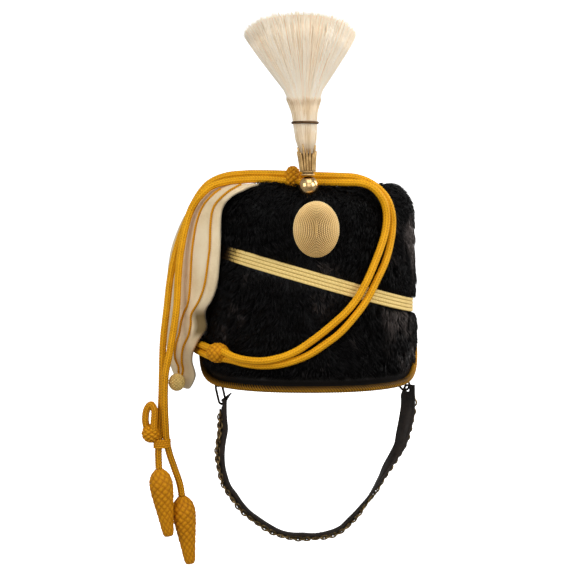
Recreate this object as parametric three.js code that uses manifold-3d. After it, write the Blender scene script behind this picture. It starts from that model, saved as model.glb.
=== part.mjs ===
import * as THREE from "three";
import { mergeVertices } from "three/addons/utils/BufferGeometryUtils.js";
import Module from "manifold-3d";

// A busby: a stiff shell covered with fur, with a leather hem, a corded rim, a braid band, an oval boss,
// a plume, a cloth bag on the wearer's right, a pair of cap lines with tassels and a chained chin strap.
// Millimetres. The origin is the middle of the head opening at the rim's lowest level, +Z is up and the
// front faces -Y. A turn of 0 is the front and a quarter turn is +X.

const FULL_TURN = 2 * Math.PI;
const DEGREE = Math.PI / 180;
const GAP = 0.3;

// The cap's plan is a slightly square oval, smaller at the crown. Its rim arches up over the ears.
const RIM_HALF_WIDTH = 93;
const RIM_HALF_DEPTH = 112;
const WIDTH_TAPER = 5.5;
const DEPTH_TAPER = 6;
const SQUARENESS = 2.35;
const CAP_HEIGHT = 159;
const RIM_RISE = 26;
const RIM_RISE_SHARPNESS = 12;
const AROUND = 36;

// Layers of the wall, each as its outer face measured inward from the fur's outline.
const SHELL_DEPTH = 11;
const SHELL_WALL = 2.5;
const SHELL_TOP = 147.5;
const SHELL_CORNER = 4;
const SHELL_FOOT = 0.5;
const SHELL_LEVELS = [45, 90];
const TAB_THICKNESS = 1.4;
const SWEATBAND_THICKNESS = 1.2;
const SWEATBAND_HEIGHT = 38;
const SWEATBAND_DROP = 4;
const CROWN_CLOTH_THICKNESS = 1.5;
const CROWN_CLOTH_RISE = 1.2;
const CROWN_CLOTH_FOLD = 30;

// The leather hem below the fur and the cord along the rim.
const HEM_HEIGHT = 14;
const HEM_FOOT = 1;
const HEM_BULGE = 3.4;
const RIM_CORD = 5;

// The fur: rows of locks that hang over one another, each two ring points wide.
const FUR_AROUND = 36;
const LOCK_ROWS = 5;
const LOCK_REACH = 4.2;
const FUR_START = 11;
const FUR_TOP_DEPTH = 22;
const FUR_SHOULDER = 16;
const BAG_PRESS = 4;

// The braid band lies in a slanting plane and presses the fur in.
const BAND_LEVEL = 85.9;
const BAND_SLOPE_X = -0.2885;
const BAND_SLOPE_Y = -0.0317;
const BAND_WIDTH = 11.5;
const BAND_THICKNESS = 2.2;
const BAND_BEVEL = { width: 0.8, depth: 0.4 };
const BAND_DEPTH = 3.7;
const BAND_GROOVE = 6.3;
const GROOVE_MARGIN = 7.5;
const GROOVE_BANK = 7;

// The oval boss of coiled cord on the front.
const BOSS_CENTRE = { x: 4.6, y: -104.3, z: 127 };
const BOSS_HALF_WIDTH = 18.5;
const BOSS_HALF_HEIGHT = 22.3;
const BOSS_THICKNESS = 12;
const BOSS_EDGE = 2.5;
const BOSS_BACK_SCALE = 0.93;
const BOSS_ROOM_SCALE = 1.03;
const BOSS_DOME = 0.94;
const BOSS_POINTS = 20;
const BOSS_TURNS = 4;
const TURN_CREST = 0.3;
const TURN_VALLEY = 0.92;
const VALLEY_DEPTH = 0.9;

// The plume: a gilt ball on a stem, a leafed socket, the hair and the wire ring round it.
const PLUME_FOOT = { x: -1.2, y: -101, z: 160.3 };
const PLUME_LEAN = 0.058;
const PLUME_BALL = 15.3;
const PLUME_STEM = 4;
const PLUME_STEM_LENGTH = 30;
const PLUME_FLATNESS = 0.85;
const PLUME_RING_HEIGHT = 209;
const PLUME_RING_RADIUS = 9.7;
const PLUME_RING_WIRE = 1.5;
const CALYX_LEAF = 3;

// The cap lines, cords and their knots.
const LINE = 5.6;
const LINE_STEPS = 38;
const CORD_SIDES = 8;
const KNOT_GRID = 12;
const KNOT_WEAVE = 0.05;
const KNOT_ROOM = 2;

// The chin strap: leather with a chain along its outer face.
const STRAP_WIDTH = 15;
const STRAP_THICKNESS = 2;
const STRAP_TILT = -28 * DEGREE;
const STRAP_END_TILT = 50 * DEGREE;
const TWIST_START = 0.56;
const TWIST_END = 0.96;
const STRAP_STEPS = 25;
const CHAIN_WIDTH = 9;
const CHAIN_HEIGHT = 3;
const CHAIN_START = 0.03;
const CHAIN_END = 0.97;
const STRAP_HOLE_SETBACK = 3.8;
const STRAP_HOLE = 4.8;

// The leather tabs between the shell and the sweatband, and the wire loops that hang the strap from them.
const TAB_TURN = 63 * DEGREE;
const TAB_HALF_TURN = 3 * DEGREE;
const TAB_TOP = 30;
const TAB_FOOT = -0.4;
const TAB_HOLE_HEIGHT = 2.8;
const TAB_HOLE = 4.2;
const WIRE = 1.2;
const WIRE_POINTS = 12;
const RING_DROP = 7.4;
const RING_WIDTH = 7.4;
const RING_SPIN = 15 * DEGREE;
const LEFT_LINK_RISE = 1.7;
const LEFT_LINK_WIDTH = 6.2;
const LEFT_LINK_SPIN = -30 * DEGREE;
const RIGHT_LINK_WIDTH = 8;
const RIGHT_LINK_SPIN = -13 * DEGREE;

const FUR_LOOK = { color: 0x17110f, roughness: 0.85, metalness: 0 };
const DARK_LEATHER_LOOK = { color: 0x2d1d16, roughness: 0.5, metalness: 0 };
const STRAP_LOOK = { color: 0x2a2321, roughness: 0.6, metalness: 0 };
const GOLD_CORD_LOOK = { color: 0xe0a020, roughness: 0.7, metalness: 0 };
const STRAW_CORD_LOOK = { color: 0xdfc082, roughness: 0.75, metalness: 0 };
const CLOTH_LOOK = { color: 0xe3d3b6, roughness: 0.9, metalness: 0 };
const BRASS_LOOK = { color: 0xc9a368, roughness: 0.3, metalness: 1 };
const OLD_GILT_LOOK = { color: 0xa07d46, roughness: 0.4, metalness: 1 };
const DARK_WIRE_LOOK = { color: 0x3c322a, roughness: 0.45, metalness: 1 };
const HAIR_LOOK = { color: 0xede0c8, roughness: 0.8, metalness: 0 };

const wasm = await Module();
wasm.setup();

const part = new THREE.Group();
const at = (x, y, z) => new THREE.Vector3(x, y, z);

function add(name, geometry, look) {
  const mesh = new THREE.Mesh(geometry, new THREE.MeshStandardMaterial(look));
  mesh.name = name;
  part.add(mesh);
  return mesh;
}

// Only the corners of a closed mesh, each once, with the faces pointing out.
function clean(geometry) {
  const bare = new THREE.BufferGeometry();
  bare.setAttribute("position", geometry.getAttribute("position").clone());
  if (geometry.index) bare.setIndex(geometry.index.clone());
  const merged = mergeVertices(bare, 1e-4);
  const corner = [at(0, 0, 0), at(0, 0, 0), at(0, 0, 0)];
  const position = merged.getAttribute("position");
  const index = merged.index;
  let volume = 0;
  for (let i = 0; i < index.count; i += 3) {
    corner.forEach((point, k) => point.fromBufferAttribute(position, index.getX(i + k)));
    volume += corner[0].dot(corner[1].cross(corner[2]));
  }
  if (volume < 0) {
    for (let i = 0; i < index.count; i += 3) {
      const second = index.getX(i + 1);
      index.setX(i + 1, index.getX(i + 2));
      index.setX(i + 2, second);
    }
  }
  merged.computeVertexNormals();
  return merged;
}

function toSolid(geometry) {
  const mesh = clean(geometry);
  const vertProperties = Float32Array.from(mesh.getAttribute("position").array);
  const triVerts = Uint32Array.from(mesh.index.array);
  return new wasm.Manifold(new wasm.Mesh({ numProp: 3, vertProperties, triVerts }));
}

function fromSolid(solid) {
  const mesh = solid.getMesh();
  const geometry = new THREE.BufferGeometry();
  geometry.setAttribute("position", new THREE.BufferAttribute(mesh.vertProperties, 3));
  geometry.setIndex(new THREE.BufferAttribute(mesh.triVerts, 1));
  return clean(geometry);
}

function cut(geometry, ...tools) {
  return fromSolid(tools.reduce((solid, tool) => solid.subtract(toSolid(tool)), toSolid(geometry)));
}

function join(...geometries) {
  return fromSolid(geometries.map(toSolid).reduce((solid, other) => solid.add(other)));
}

// A closed skin over rings of equal length. The last ring joins the first, or each end gets a lid: a fan
// round the ring's middle, or a strip between its two halves.
function skin(rings, ends) {
  const count = rings[0].length;
  const points = rings.flat();
  const faces = [];
  const rows = ends === "joined" ? rings.length : rings.length - 1;
  for (let row = 0; row < rows; row++) {
    const start = row * count;
    const next = ((row + 1) % rings.length) * count;
    for (let i = 0; i < count; i++) {
      const j = (i + 1) % count;
      faces.push(start + i, start + j, next + j, start + i, next + j, next + i);
    }
  }
  const lids = ends === "joined" ? [] : [[0, true], [rings.length - 1, false]];
  for (const [ring, flipped] of lids) {
    const start = ring * count;
    const lid = ends === "fan" ? fanLid(start, count, points, rings[ring]) : stripLid(start, count);
    for (const [a, b, c] of lid) faces.push(...(flipped ? [b, a, c] : [a, b, c]));
  }
  const geometry = new THREE.BufferGeometry().setFromPoints(points);
  geometry.setIndex(faces);
  return clean(geometry);
}

function fanLid(start, count, points, ring) {
  const middle = ring.reduce((sum, point) => sum.add(point), at(0, 0, 0)).divideScalar(count);
  points.push(middle);
  return ring.map((_, i) => [start + i, start + ((i + 1) % count), points.length - 1]);
}

function stripLid(start, count) {
  const faces = [];
  for (let i = 0; i < count / 2 - 1; i++) {
    const [a, b] = [start + i, start + i + 1];
    const [c, d] = [start + count - 2 - i, start + count - 1 - i];
    faces.push([a, b, c], [a, c, d]);
  }
  return faces;
}

function circle(count, place) {
  return Array.from({ length: count }, (_, i) => place((i / count) * FULL_TURN, i));
}

// A repeatable number from 0 to 1 for each pair of whole numbers, for the unevenness of the locks.
function scatter(i, j) {
  const wave = Math.sin(i * 12.9898 + j * 78.233) * 43758.5453;
  return wave - Math.floor(wave);
}

// A point of the cap's outline at a height, moved outward by proud.
function outline(turn, z, proud) {
  const climb = THREE.MathUtils.clamp(z / CAP_HEIGHT, 0, 1);
  const halfWidth = RIM_HALF_WIDTH - WIDTH_TAPER * climb + proud;
  const halfDepth = RIM_HALF_DEPTH - DEPTH_TAPER * climb + proud;
  const [side, front] = [Math.sin(turn), Math.cos(turn)];
  const reach = Math.abs(side / halfWidth) ** SQUARENESS + Math.abs(front / halfDepth) ** SQUARENESS;
  const radius = reach ** (-1 / SQUARENESS);
  return at(radius * side, -radius * front, z);
}

const rimLevel = (turn) => RIM_RISE * Math.abs(Math.sin(turn)) ** RIM_RISE_SHARPNESS;
const aboveRim = (rise) => (turn) => rimLevel(turn) + rise;
const level = (z) => () => z;

// Rings round the cap, one for each pair of how proud it stands and its height as a function of turn.
function capRings(profile, count = AROUND) {
  return profile.map(([proud, height]) => circle(count, (turn) => outline(turn, height(turn), proud)));
}

// The shell: a wall and a flat top in one piece.
const shellOut = -SHELL_DEPTH;
const shellIn = shellOut - SHELL_WALL;
const shellFoot = aboveRim(SHELL_FOOT);
const [lowLevel, highLevel] = SHELL_LEVELS;
add("body_shell", skin(capRings([
  [shellOut - SHELL_CORNER, level(SHELL_TOP)],
  [shellOut, level(SHELL_TOP - SHELL_CORNER)],
  [shellOut, level(highLevel)],
  [shellOut, level(lowLevel)],
  [shellOut, shellFoot],
  [shellIn, shellFoot],
  [shellIn, level(lowLevel)],
  [shellIn, level(highLevel)],
  [shellIn, level(SHELL_TOP - SHELL_CORNER)],
  [shellOut - SHELL_CORNER, level(SHELL_TOP - SHELL_WALL)],
]), "fan"), DARK_LEATHER_LOOK);

// The sweatband stands a tab's thickness inside the shell and shows a little below the rim at the sides.
const tabOut = shellIn - GAP;
const tabIn = tabOut - TAB_THICKNESS;
const bandOut = tabIn - GAP;
const bandIn = bandOut - SWEATBAND_THICKNESS;
const sweatbandFoot = (turn) => rimLevel(turn) - SWEATBAND_DROP * Math.abs(Math.sin(turn)) ** 6;
add("sweatband", skin(capRings([
  [bandOut, sweatbandFoot],
  [bandOut, level(SWEATBAND_HEIGHT)],
  [bandIn, level(SWEATBAND_HEIGHT)],
  [bandIn, sweatbandFoot],
]), "joined"), DARK_LEATHER_LOOK);

// The leather hem bulges over the rim cord.
const hemIn = shellOut + GAP;
add("leather_hem", skin(capRings([
  [hemIn, aboveRim(HEM_FOOT)],
  [-RIM_CORD - 1.1, aboveRim(HEM_FOOT)],
  [-RIM_CORD - 0.8, aboveRim(RIM_CORD + 0.6)],
  [-HEM_BULGE, aboveRim(9)],
  [-HEM_BULGE - 1, aboveRim(12.5)],
  [-8, aboveRim(HEM_HEIGHT)],
  [hemIn, aboveRim(HEM_HEIGHT)],
]), "joined"), DARK_LEATHER_LOOK);

// A closed band along a closed route, its section given as pairs of outward and upward offsets.
function hoop(route, section, count) {
  const step = 0.001;
  const rings = circle(count, (turn) => {
    const middle = route(turn);
    const ahead = route(turn + step).sub(route(turn - step)).normalize();
    const out = ahead.clone().cross(at(0, 0, 1)).normalize();
    const up = out.clone().cross(ahead).normalize();
    return section.map(([o, u]) => middle.clone().addScaledVector(out, o).addScaledVector(up, u));
  });
  return skin(rings, "joined");
}

function roundSection(diameter, sides = CORD_SIDES) {
  const radius = diameter / 2;
  return circle(sides, (turn) => [radius * Math.cos(turn), radius * Math.sin(turn)]);
}

const rimRoute = (turn) => outline(turn, rimLevel(turn) + RIM_CORD / 2, -RIM_CORD / 2);
add("rim_cord", hoop(rimRoute, roundSection(RIM_CORD), AROUND), GOLD_CORD_LOOK);

// The plane of the braid band, and the band's route in the pressed fur.
const bandPlane = (x, y) => BAND_LEVEL + BAND_SLOPE_X * x + BAND_SLOPE_Y * y;
const planeLength = Math.hypot(1, BAND_SLOPE_X, BAND_SLOPE_Y);
const fromBand = (point) => (point.z - bandPlane(point.x, point.y)) / planeLength;
function bandRoute(turn) {
  let point = outline(turn, BAND_LEVEL, -BAND_DEPTH);
  for (let pass = 0; pass < 4; pass++) point = outline(turn, bandPlane(point.x, point.y), -BAND_DEPTH);
  return point;
}
const halfBand = BAND_WIDTH / 2;
const bandFace = BAND_THICKNESS / 2;
const bandSection = [
  [-bandFace, -halfBand],
  [bandFace - BAND_BEVEL.depth, -halfBand],
  [bandFace, -halfBand + BAND_BEVEL.width],
  [bandFace, halfBand - BAND_BEVEL.width],
  [bandFace - BAND_BEVEL.depth, halfBand],
  [-bandFace, halfBand],
];
add("braid_band", hoop(bandRoute, bandSection, AROUND), STRAW_CORD_LOOK);

// The boss: an oval dome of cord turns. A grown copy of its form clears the fur for it.
function bossRing(scale, depth) {
  return circle(BOSS_POINTS, (turn) => at(
    BOSS_CENTRE.x + scale * BOSS_HALF_WIDTH * Math.cos(turn),
    BOSS_CENTRE.y - depth,
    BOSS_CENTRE.z + scale * BOSS_HALF_HEIGHT * Math.sin(turn),
  ));
}
const domeDepth = (scale) => BOSS_THICKNESS * Math.sqrt(1 - (BOSS_DOME * scale) ** 2);
const bossRings = [bossRing(BOSS_BACK_SCALE, 0), bossRing(1, BOSS_EDGE)];
for (let turn = 0; turn < BOSS_TURNS; turn++) {
  const crest = 1 - (turn + TURN_CREST) / BOSS_TURNS;
  const valley = 1 - (turn + TURN_VALLEY) / BOSS_TURNS;
  bossRings.push(bossRing(crest, domeDepth(crest)), bossRing(valley, domeDepth(valley) - VALLEY_DEPTH));
}
add("boss", skin(bossRings, "fan"), STRAW_CORD_LOOK);
const bossRoom = skin([bossRing(BOSS_ROOM_SCALE, -GAP), bossRing(BOSS_ROOM_SCALE, BOSS_THICKNESS)], "fan");

// The plume's ball and its stem are one turned piece.
function ballProfile(grow) {
  const radius = PLUME_BALL / 2 + grow;
  const stem = PLUME_STEM / 2 + grow;
  const foot = -PLUME_STEM_LENGTH - grow;
  const low = -Math.sqrt(radius ** 2 - stem ** 2);
  const profile = [[0, foot], [stem, foot], [stem, low]];
  for (const lift of [-60, -30, 0, 30, 60]) {
    profile.push([radius * Math.cos(lift * DEGREE), radius * Math.sin(lift * DEGREE)]);
  }
  profile.push([0, radius]);
  return profile.map(([x, y]) => new THREE.Vector2(x, y));
}
function turned(profile, sides) {
  return clean(new THREE.LatheGeometry(profile, sides).rotateX(Math.PI / 2));
}
function atFoot(geometry) {
  return geometry.translate(PLUME_FOOT.x, PLUME_FOOT.y, PLUME_FOOT.z);
}
add("plume_ball", atFoot(turned(ballProfile(0), 16)), BRASS_LOOK);
const ballRoom = atFoot(turned(ballProfile(GAP), 12));

// Rings about the plume's leaning axis. Every second point may stand in or up to form leaves or locks.
function plumeRing(height, radius, { flat = 1, ridge = 0, jag = 0, count = 16 } = {}) {
  const middle = PLUME_FOOT.x - PLUME_LEAN * (height - PLUME_FOOT.z);
  return circle(count, (turn, i) => {
    const inward = i % 2 ? 1 - ridge : 1;
    return at(
      middle + radius * inward * Math.cos(turn),
      PLUME_FOOT.y + radius * inward * flat * Math.sin(turn),
      height + (i % 2 ? -jag : jag * scatter(i, Math.round(height))),
    );
  });
}
const CALYX_ROWS = [
  { rise: 0, radius: 5.2 },
  { rise: 1.8, radius: 5.8 },
  { rise: 3.2, radius: 4.6 },
  { rise: 13, radius: 6.3 },
  { rise: 20.7, radius: 7.6, jag: CALYX_LEAF },
  { rise: 20.3, radius: 6.8, jag: CALYX_LEAF },
  { rise: 13, radius: 5.5 },
  { rise: 8, radius: 4.4 },
];
const calyxFoot = PLUME_FOOT.z + PLUME_BALL / 2 + GAP;
const calyxRings = CALYX_ROWS.map(({ rise, radius, jag }) => plumeRing(calyxFoot + rise, radius, { jag }));
add("plume_socket", skin(calyxRings, "fan"), OLD_GILT_LOOK);

const HAIR_ROWS = [
  { height: 176.8, radius: 3.6 },
  { height: 181, radius: 4.9 },
  { height: 186, radius: 5.9 },
  { height: 192.6, radius: 6.2 },
  { height: 196, radius: 8.4 },
  { height: 201, radius: 8.9 },
  { height: 209, radius: 8.5 },
  { height: 215, radius: 8.7, ridge: 0.05 },
  { height: 228, radius: 12.4, ridge: 0.1, jag: 1 },
  { height: 230, radius: 11, ridge: 0.06 },
  { height: 248, radius: 21.5, ridge: 0.08 },
  { height: 266, radius: 33, ridge: 0.1 },
  { height: 281, radius: 43, ridge: 0.12, jag: 2.5 },
  { height: 288, radius: 34, ridge: 0.1, jag: 2.5 },
  { height: 292, radius: 17, ridge: 0.1, jag: 2 },
];
const hairRing = ({ height, radius, ridge, jag }) =>
  plumeRing(height, radius, { ridge, jag, flat: PLUME_FLATNESS, count: 20 });
add("plume_hair", skin(HAIR_ROWS.map(hairRing), "fan"), HAIR_LOOK);

const ringMiddle = PLUME_FOOT.x - PLUME_LEAN * (PLUME_RING_HEIGHT - PLUME_FOOT.z);
const plumeWire = new THREE.TorusGeometry(PLUME_RING_RADIUS, PLUME_RING_WIRE / 2, 6, 14);
plumeWire.translate(ringMiddle, PLUME_FOOT.y, PLUME_RING_HEIGHT);
add("plume_ring", clean(plumeWire), DARK_WIRE_LOOK);

// The two cap lines. Each list runs from the anchor at the rear left, under the bag, through the ball
// knot, across the front, over the crown's edge through the top knot, and down the bag to its tassel.
const LINE_A = [
  [-95, 18, 25.5], [-95.5, 0, 25.5], [-95, -20, 25.5], [-92, -41, 25.5], [-85, -63, 25.5], [-79, -78, 25],
  [-71.5, -88.5, 25], [-61, -96, 24], [-51.5, -102.3, 22.3], [-38, -108.6, 21.3], [-21, -113.3, 23.3],
  [-2.5, -114.5, 29.8], [11.3, -113.6, 38.5], [22.6, -112.2, 47], [34.9, -109, 60.3], [44.3, -104.8, 72.8],
  [52.2, -99.5, 87.6], [59, -93.8, 101.4], [63.6, -89, 118], [65, -86.6, 131], [64, -87.4, 141],
  [60.6, -88.3, 150], [54.5, -87.8, 157.6], [46, -88, 163.5], [36, -86, 167], [20, -84, 168],
  [6, -83, 168.5], [-7, -83, 169], [-16.5, -82, 169.5], [-31.5, -77, 170], [-50.5, -69, 170],
  [-68, -63, 168], [-81, -60, 162], [-90, -60, 151], [-98, -61, 134], [-105.5, -61, 114],
  [-111.5, -61, 89], [-115, -61, 61], [-118, -61, 35], [-119, -61, 9], [-119.5, -61, -9],
  [-120.5, -61, -27], [-121.5, -61.5, -42], [-122.3, -62.5, -54], [-122, -63, -68.5],
];
const LINE_B = [
  [-95, 18, 31.7], [-95.5, 0, 31.7], [-95, -20, 31.7], [-92, -41, 31.7], [-85, -63, 31.7], [-79, -78, 31.3],
  [-71.5, -88.5, 31.2], [-66, -97, 29.9], [-58.5, -103.8, 27.2], [-48, -110.5, 25.7], [-36, -114.9, 25.8],
  [-21.5, -117, 29], [-9.5, -116.6, 34.2], [-0.3, -115.4, 40.3], [8.9, -114.2, 47.1], [18.5, -112.6, 55],
  [27.9, -110.6, 63.4], [35.5, -108.4, 72.4], [41.1, -106, 81.5], [45.9, -103.5, 90.8], [50, -100.6, 100],
  [53.8, -97.6, 109.2], [57.2, -94.8, 118.5], [59.4, -92.8, 128], [60, -92, 137], [58.4, -92.8, 146],
  [54.6, -94.3, 153], [48.5, -95, 159.3],
  [40, -94, 162.5], [27, -92, 163], [12.5, -89.5, 163], [-1.5, -88, 163.3], [-16.5, -86, 164.2],
  [-33, -81.5, 165.5], [-50.5, -76, 165.3], [-66.5, -72, 163.5], [-78, -71, 160], [-86, -71.5, 153.5],
  [-93.5, -70, 143.5], [-98.5, -70, 129], [-103, -70, 107], [-105, -70, 87], [-106.5, -70, 62],
  [-111.5, -70, 30], [-115.5, -69.5, 10], [-116.5, -68.5, -4], [-116.5, -67.5, -20],
  [-116, -66, -34], [-115.5, -63, -46], [-113.5, -60, -57], [-109.5, -57.5, -70], [-105.5, -56, -83],
  [-104, -55.5, -92.5],
];

function tube(points, diameter, steps, sides = CORD_SIDES) {
  const route = new THREE.CatmullRomCurve3(points.map(([x, y, z]) => at(x, y, z)), false, "centripetal");
  const section = new THREE.Shape(roundSection(diameter, sides).map(([x, y]) => new THREE.Vector2(x, y)));
  return clean(new THREE.ExtrudeGeometry(section, { steps, extrudePath: route, bevelEnabled: false }));
}
add("cap_line_a", tube(LINE_A, LINE, LINE_STEPS), GOLD_CORD_LOOK);
add("cap_line_b", tube(LINE_B, LINE, LINE_STEPS), GOLD_CORD_LOOK);
const linesRoom = [LINE_A, LINE_B].map((line) => tube(line, LINE + 2 * GAP, LINE_STEPS));

// A round body of woven cord about an upright or lying axis, with the weave as small humps.
function knot(centre, size, weave = KNOT_WEAVE) {
  const rings = [];
  const rows = KNOT_GRID / 2;
  for (let row = 0; row < rows; row++) {
    const lift = ((row + 0.5) / rows - 0.5) * Math.PI;
    rings.push(circle(KNOT_GRID, (turn, i) => {
      const hump = 1 - weave + weave * ((i + row) % 2);
      return at(
        centre[0] + (size[0] / 2) * hump * Math.cos(lift) * Math.cos(turn),
        centre[1] + (size[1] / 2) * hump * Math.cos(lift) * Math.sin(turn),
        centre[2] + (size[2] / 2) * hump * Math.sin(lift),
      );
    }));
  }
  return skin(rings, "fan");
}
const BALL_KNOT = { centre: [-71.5, -88.5, 28.2], size: [20, 20, 18.5] };
const TOP_KNOT = { centre: [-13.5, -84.3, 166.8], size: [14, 15, 19] };
const SLIDE_KNOT = { centre: [-123, -62.5, -42], size: [25, 18, 17.5] };
add("ball_knot", cut(knot(BALL_KNOT.centre, BALL_KNOT.size), ...linesRoom), GOLD_CORD_LOOK);
add("top_knot", cut(knot(TOP_KNOT.centre, TOP_KNOT.size), ...linesRoom), GOLD_CORD_LOOK);
const SLIDE_LOOP_LINE = 5.2;
const SLIDE_LOOP = [
  [-131, -63, -38], [-132.5, -64.5, -28], [-131, -65, -19.5], [-127.8, -65.5, -15.8], [-125, -66.5, -20],
  [-125.2, -67, -29], [-126, -66.5, -38],
];
const slideBody = join(knot(SLIDE_KNOT.centre, SLIDE_KNOT.size), tube(SLIDE_LOOP, SLIDE_LOOP_LINE, 10));
add("slide_knot", cut(slideBody, ...linesRoom), GOLD_CORD_LOOK);
const ballKnotRoom = knot(BALL_KNOT.centre, BALL_KNOT.size.map((side) => side + KNOT_ROOM), 0);

// A tassel: a woven body like a carrot, hung by its wide end, along an axis from top to foot.
const TASSEL_ROWS = [
  { along: 0, radius: 3.2 },
  { along: 0.05, radius: 6 },
  { along: 0.13, radius: 8.9 },
  { along: 0.24, radius: 9.6 },
  { along: 0.38, radius: 9 },
  { along: 0.54, radius: 7.6 },
  { along: 0.7, radius: 6.1 },
  { along: 0.86, radius: 4.9 },
  { along: 0.96, radius: 4.5 },
  { along: 1, radius: 3.4 },
];
const TASSEL_POINTS = 14;
const TASSEL_WEAVE = 0.06;
function tassel(top, foot) {
  const [start, end] = [at(...top), at(...foot)];
  const down = end.clone().sub(start).normalize();
  const side = at(0, 1, 0).cross(down).normalize();
  const back = down.clone().cross(side);
  return skin(TASSEL_ROWS.map(({ along, radius }, row) => circle(TASSEL_POINTS, (turn, i) => {
    const hump = radius * (1 - TASSEL_WEAVE + TASSEL_WEAVE * ((i + row) % 2));
    return start.clone().lerp(end, along)
      .addScaledVector(side, hump * Math.cos(turn))
      .addScaledVector(back, hump * Math.sin(turn));
  })), "fan");
}
add("tassel_a", tassel([-122, -63, -69], [-114.3, -63.5, -124]), GOLD_CORD_LOOK);
add("tassel_b", tassel([-103.9, -55.5, -93], [-97.5, -54.5, -149]), GOLD_CORD_LOOK);

// A sewn block that holds the cap lines' ends at the rear left.
const ANCHOR_START = -101.2 * DEGREE;
const ANCHOR_END = -108 * DEGREE;
function wallBlock(turns, profile) {
  return skin(profile.map(([proudOut, proudIn, z]) => [
    ...turns.map((turn) => outline(turn, z, proudOut)),
    ...[...turns].reverse().map((turn) => outline(turn, z, proudIn)),
  ]), "strip");
}
const anchorTurns = [ANCHOR_START, (ANCHOR_START + ANCHOR_END) / 2, ANCHOR_END];
const ANCHOR_PROFILE = [[5.5, 1, 20], [7, 0.6, 22], [7, 0.6, 35], [5.5, 1, 37]];
add("line_anchor", wallBlock(anchorTurns, ANCHOR_PROFILE), STRAP_LOOK);

// The crown's cloth lies inside the fur's upper edge.
const clothEdge = -FUR_TOP_DEPTH - 0.4;
const clothFoot = SHELL_TOP + GAP;
const crownCloth = capRings([
  [clothEdge, level(clothFoot)],
  [clothEdge, level(clothFoot + CROWN_CLOTH_THICKNESS)],
  [clothEdge - CROWN_CLOTH_FOLD, level(clothFoot + CROWN_CLOTH_THICKNESS + CROWN_CLOTH_RISE)],
]);
add("crown_cloth", skin(crownCloth, "fan"), CLOTH_LOOK);

// The fur's upper edge is lower where the bag lies on it.
const bagShare = (turn) => THREE.MathUtils.clamp((-Math.sin(turn) - 0.2) / 0.5, 0, 1);
const furTop = (drop) => (turn) => CAP_HEIGHT - BAG_PRESS * bagShare(turn) - drop;

// How far the band lets the fur stand out at a point.
function bandLimit(point) {
  const away = Math.abs(fromBand(point)) - BAND_WIDTH / 2 - GROOVE_MARGIN;
  return -BAND_GROOVE + BAND_GROOVE * THREE.MathUtils.clamp(away / GROOVE_BANK, 0, 1);
}

// One row of locks: its tips, its belly and its roots below the next row's tips.
function lockRings(row) {
  const tipOf = (i, r) => (i + r) % 2 === 0;
  const start = (turn, r) => {
    const low = rimLevel(turn) + FUR_START;
    return low + ((CAP_HEIGHT - FUR_SHOULDER - low) * r) / LOCK_ROWS;
  };
  const tipHeight = (turn, i, r) => start(turn, r) + (tipOf(i, r) ? -2 - 2 * scatter(i, r) : 3);
  const place = (turn, z, proud) => {
    const limit = bandLimit(outline(turn, z, proud));
    return outline(turn, z, Math.min(proud, limit));
  };
  const tips = circle(FUR_AROUND, (turn, i) =>
    place(turn, tipHeight(turn, i, row), tipOf(i, row) ? -0.9 * scatter(i, row + 9) : -2.4));
  const bellies = circle(FUR_AROUND, (turn, i) => {
    const z = THREE.MathUtils.lerp(tipHeight(turn, i, row), tipHeight(turn, i, row + 1), 0.45);
    return place(turn, z, tipOf(i, row) ? -0.8 : -2.9);
  });
  const roots = circle(FUR_AROUND, (turn, i) => place(turn, tipHeight(turn, i, row + 1) - 1.4, -LOCK_REACH));
  return [tips, bellies, roots];
}
function shoulderRing(proud, drop) {
  const height = furTop(drop);
  return circle(FUR_AROUND, (turn, i) => outline(turn, height(turn) - 0.9 * (i % 2), proud - 0.7 * (i % 2)));
}
const furIn = shellOut + GAP;
const fur = skin([
  ...Array.from({ length: LOCK_ROWS }, (_, row) => lockRings(row)).flat(),
  shoulderRing(-0.3, 13),
  shoulderRing(-3, 6),
  shoulderRing(-7.5, 2),
  shoulderRing(-13, 0),
  shoulderRing(-19, 1.5),
  ...capRings([
    [-FUR_TOP_DEPTH, furTop(5)],
    [-FUR_TOP_DEPTH, level(SHELL_TOP + 0.6)],
    [shellOut - SHELL_CORNER, level(SHELL_TOP + 0.6)],
    [furIn, level(SHELL_TOP - SHELL_CORNER + 0.5)],
    [furIn, aboveRim(HEM_HEIGHT + 0.8)],
    [-HEM_BULGE - 0.8, aboveRim(HEM_HEIGHT + 0.8)],
  ], FUR_AROUND),
], "joined");
add("fur", cut(fur, bossRoom, ballRoom, ballKnotRoom), FUR_LOOK);

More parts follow.
